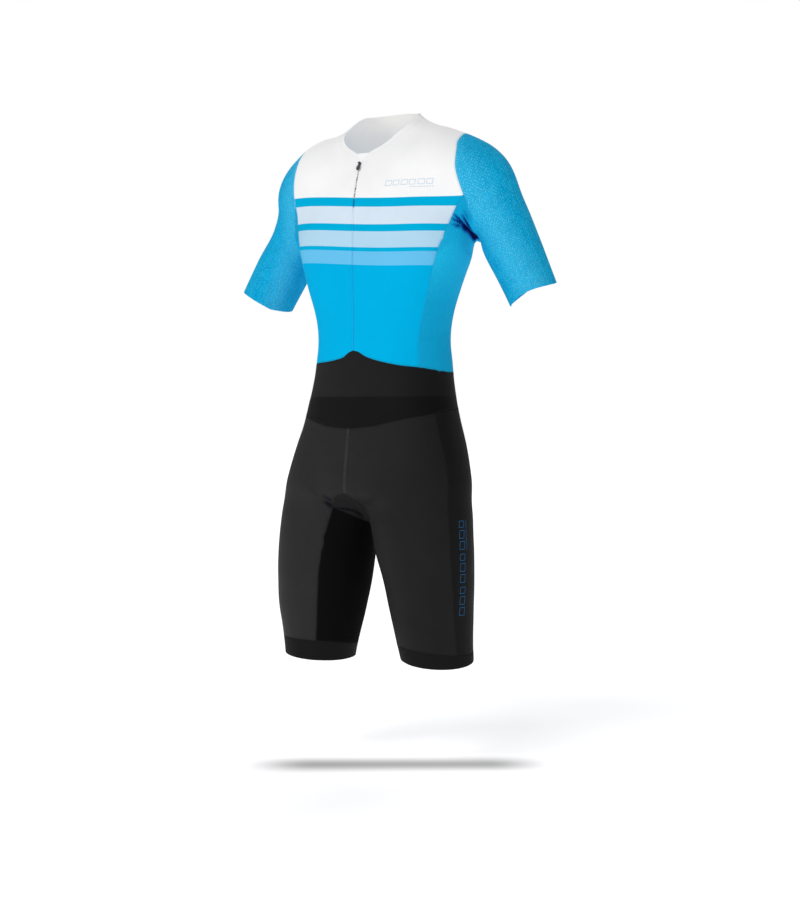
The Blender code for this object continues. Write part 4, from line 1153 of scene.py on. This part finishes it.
def zip_sheet(name, material):
    """A thin woven sheet on the front of a zip node's plain wall."""
    bm = node_mesh(name)
    front = min(two_layers(bm), key=lambda sheet: sum(face.normal.y * face.calc_area() for face in sheet))
    sheet = bmesh.new()
    add_sheet(sheet, front, 0)
    to_quads(sheet)
    mesh = smoothed(sheet, ZIP_LEVELS)
    points, quads = points_of(mesh), quads_of(mesh)
    made = shell(name + "_sheet", points, quads, material, material, thickness=TAPE_THICKNESS)
    corners = whole_numbers(made.data.loops, "vertex_index")
    lay_cloth(made.data, points_of(made.data)[corners][:, (0, 2)])
    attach(made, "suit")
    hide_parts(name)


def coil_line():
    """The front middle of the chain, from the top down, at the pitch of the teeth."""
    mesh = NODES["zip_coil"].data
    corners = points_of(mesh)
    heights = np.linspace(corners[:, 2].max() - CHAIN_END, corners[:, 2].min() + CHAIN_END, CHAIN_KNOTS)
    tree = BVHTree.FromPolygons(corners.tolist(), [list(face.vertices) for face in mesh.polygons])
    fronts = [tree.ray_cast(Vector((0, -1, z)), Vector((0, 1, 0)))[0] for z in heights]
    knots = np.array([front for front in fronts if front is not None])
    lengths = run_lengths(knots)
    return spread(np.arange(0, lengths[-1], TOOTH_PITCH / 2), lengths, knots)


def zip_teeth():
    """Small rounded teeth that reach over the middle by turns from the left and from the right."""
    line = coil_line()
    length, half_depth, half_height = TOOTH
    bm = bmesh.new()
    for i, (place, down) in enumerate(zip(line, unit(np.gradient(line, axis=0)))):
        side = 1 if i % 2 else -1
        out = np.cross(down, (1, 0, 0))
        out *= -np.sign(out[1])
        for corner in bmesh.ops.create_cube(bm, size=2.0)["verts"]:
            x, y, z = corner.co
            taper = TOOTH_TAPER if y > 0 else 1.0
            across = side * (0.5 * length * (1 + x) - TOOTH_OVERLAP)
            raised = place + out * (y * half_depth - TOOTH_SINK)
            corner.co = raised + down * (z * half_height * taper) + np.array([across, 0, 0])
    bmesh.ops.bevel(bm, geom=bm.edges[:], offset=TOOTH_ROUND, segments=1, affect="EDGES")
    mesh = bpy.data.meshes.new("zip_teeth")
    bm.to_mesh(mesh)
    mesh.materials.append(coil_plastic("coil_plastic"))
    made = linked("zip_teeth", mesh)
    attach(made, "suit")
    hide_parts("zip_coil")


def metal(name, shade):
    """Dark metal, a little brighter where it is worn."""
    specks, grain = (2.5 * MM, 3, 0.35, 0.7), (0.5 * MM, 2, 0.03 * MM, 0.5)
    return grainy(name, shade, dimmed(shade, 1.35), specks, grain, roughness=0.38, metallic=1.0).material


zip_sheet("zip_tape", woven_tape("woven_tape"))
zip_sheet("zip_guard", soft_guard("soft_guard"))
zip_teeth()
ZIP_METAL = metal("zip_metal_dark", srgb(92, 94, 100))
for name in ("zip_slider", "zip_pull"):
    for place in NODES[name].material_slots:
        place.material = ZIP_METAL

# ---------------- printed marks

MARK_LIFT = 0.12 * MM
MARK_THICKNESS = 0.25 * MM
MARK_STEP = 3.0 * MM
DASH = 3.0                  # length of a dash, in mm


def bar(start, end, width):
    """A straight bar between two places in mm, in steps short enough to bend with the cloth."""
    start, end = np.array(start, float) * MM, np.array(end, float) * MM
    span = end - start
    aside = np.array([-span[1], span[0]]) / np.linalg.norm(span) * width * MM / 2
    steps = np.linspace(0, 1, max(2, round(np.linalg.norm(span) / MARK_STEP) + 1))
    return [(start + step * span - aside, start + step * span + aside) for step in steps]


def block(left, bottom, width, height, slant, line):
    """The outline of a slanted block, as four bars."""
    right, top = left + width, bottom + height
    corners = [(left, bottom), (right, bottom), (right + slant, top), (left + slant, top)]
    return [bar(a, b, line) for a, b in zip(corners, corners[1:] + corners[:1])]


def print_mark(name, azimuth, bars, material):
    """Flat film print, laid on the cloth as it is seen level from an azimuth."""
    points, quads = [], []
    for rows in bars:
        first = len(points)
        for pair in rows:
            for spot in pair:
                place, normal = skin.nearest(skin.seen_from(azimuth, *spot))
                points.append(place + MARK_LIFT * normal)
        quads += [(k, k + 1, k + 3, k + 2) for k in range(first, len(points) - 2, 2)]
    points, quads = np.array(points), np.array(quads)
    if face_areas(points, quads).sum(axis=0) @ np.array(looking(azimuth)[1]) > 0:
        quads = quads[:, ::-1]
    made = shell(name, points, quads, material, material, thickness=MARK_THICKNESS)
    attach(made, "suit")


def film(name, shade, other):
    """Thin printed film in two shades close to each other."""
    specks, grain = (2.0 * MM, 2, 0.35, 0.65), (0.7 * MM, 1, 0.03 * MM, 0.5)
    return grainy(name, shade, other, specks, grain, roughness=0.5, specular=0.15).material


def make_mark(name, azimuth, material, blocks, dashes):
    """A row or column of plain blocks and one of dashes. `step` is the way from one to the next, in mm.

    Every `nth` block has its other size."""
    bars = []
    for i in range(blocks["count"]):
        left, bottom = np.add(blocks["start"], np.multiply(i, blocks["step"]))
        size = blocks["size"] if i % blocks["nth"] else blocks["other"]
        bars += block(left, bottom, *size, blocks["slant"], blocks["line"])
    for i in range(dashes["count"]):
        start = np.add(dashes["start"], np.multiply(i, dashes["step"]))
        bars.append(bar(start, start + (DASH, 0), dashes["line"]))
    print_mark(name, azimuth, bars, material)


make_mark(
    "chest_mark", 0, film("pale_film", srgb(190, 207, 224), srgb(200, 214, 229)),
    {"count": 6, "start": (62, -137), "step": (15.5, 0), "nth": 2, "size": (10.5, 8.5),
     "other": (12.0, 8.5), "slant": 2.0, "line": 1.1},
    {"count": 9, "start": (110, -141.5), "step": (4.8, 0), "line": 1.5},
)
make_mark(
    "thigh_mark", 75, film("blue_film", srgb(0, 84, 128), srgb(0, 98, 146)),
    {"count": 9, "start": (4.0, -745), "step": (0, -19.5), "nth": 3, "size": (12.0, 14.0),
     "other": (12.0, 11.0), "slant": 1.5, "line": 1.0},
    {"count": 16, "start": (22.0, -733), "step": (0, -3.4), "line": 1.1},
)

# ---------------- stage and light

FLOOR_HEIGHT = -1.18
FLOOR_HALF = 30.0
SHADOW_CENTRE = (0.028, -0.074)     # to the right and away, as the camera sees the floor
SHADOW_HALF = (0.310, 0.092)
SHADOW_CORE = (0.50, 0.0)           # the share of each that is as dark as the middle
SHADOW_DEPTH = 0.60
FLOOR_COLOUR, SHADOW_COLOUR = srgb(250, 250, 251), srgb(0, 0, 0)
FLOOR_GLOW = 0.42


def make_floor():
    """A pale floor with a soft, flat shadow painted right under the suit."""
    s = Shader("floor", roughness=1.0, specular=0.0)
    x, y, _ = s.place()
    depth = SHADOW_DEPTH
    for axis, centre, half, core in zip((view_right, view_ahead), SHADOW_CENTRE, SHADOW_HALF, SHADOW_CORE):
        along = s.math("MULTIPLY_ADD", x, axis[0], s.times(y, axis[1]))
        reach = s.math("ABSOLUTE", s.math("DIVIDE", s.math("SUBTRACT", along, centre), half))
        depth = s.times(s.remap(reach, core, 1.0, 1.0, 0.0, "SMOOTHSTEP"), depth)
    shade = s.mix(depth, FLOOR_COLOUR, SHADOW_COLOUR)
    s.set(Base_Color=shade, Emission_Color=shade)
    s.glow(FLOOR_GLOW)
    signs = ((-1, -1), (1, -1), (1, 1), (-1, 1))
    corners = [(east * FLOOR_HALF, north * FLOOR_HALF, FLOOR_HEIGHT) for east, north in signs]
    floor = mesh_of("floor", corners, [(0, 1, 2, 3)])
    floor.data.materials.append(s.material)


WORLD_LIGHT, WORLD_SEEN = 0.24, 1.0     # how much light the pale room gives, and how bright it looks
# name, azimuth (0 is straight in front of the suit) and height in degrees, strength, softness in degrees
SUNS = [
    ("key", -4, 42, 1.40, 36),
    ("fill", 55, 12, 0.30, 60),
    ("behind", 205, 40, 1.1, 50),
]


def sun(name, azimuth, elevation, strength, softness):
    """A distant white light."""
    light = bpy.data.lights.new(name, "SUN")
    light.energy, light.angle = strength, math.radians(softness)
    lamp = linked(name, light)
    lift = math.radians(elevation)
    source = math.sin(lift) * UP - math.cos(lift) * looking(azimuth)[1]
    lamp.rotation_euler = source.to_track_quat("Z", "Y").to_euler()


def make_light():
    """A pale room, whose own light is dimmer than it looks to the camera, and three soft suns."""
    world = bpy.data.worlds.new("world")
    world.use_nodes = True
    tree = world.node_tree
    lit, seen = tree.nodes["Background"], tree.nodes.new("ShaderNodeBackground")
    for background, strength in ((lit, WORLD_LIGHT), (seen, WORLD_SEEN)):
        background.inputs["Color"].default_value = (1, 1, 1, 1)
        background.inputs["Strength"].default_value = strength
    path = tree.nodes.new("ShaderNodeLightPath")
    mixed = tree.nodes.new("ShaderNodeMixShader")
    tree.links.new(path.outputs["Is Camera Ray"], mixed.inputs[0])
    tree.links.new(lit.outputs[0], mixed.inputs[1])
    tree.links.new(seen.outputs[0], mixed.inputs[2])
    tree.links.new(mixed.outputs[0], tree.nodes["World Output"].inputs["Surface"])
    bpy.context.scene.world = world
    for settings in SUNS:
        sun(*settings)


make_floor()
make_light()
bpy.context.scene.view_settings.view_transform = "Standard"
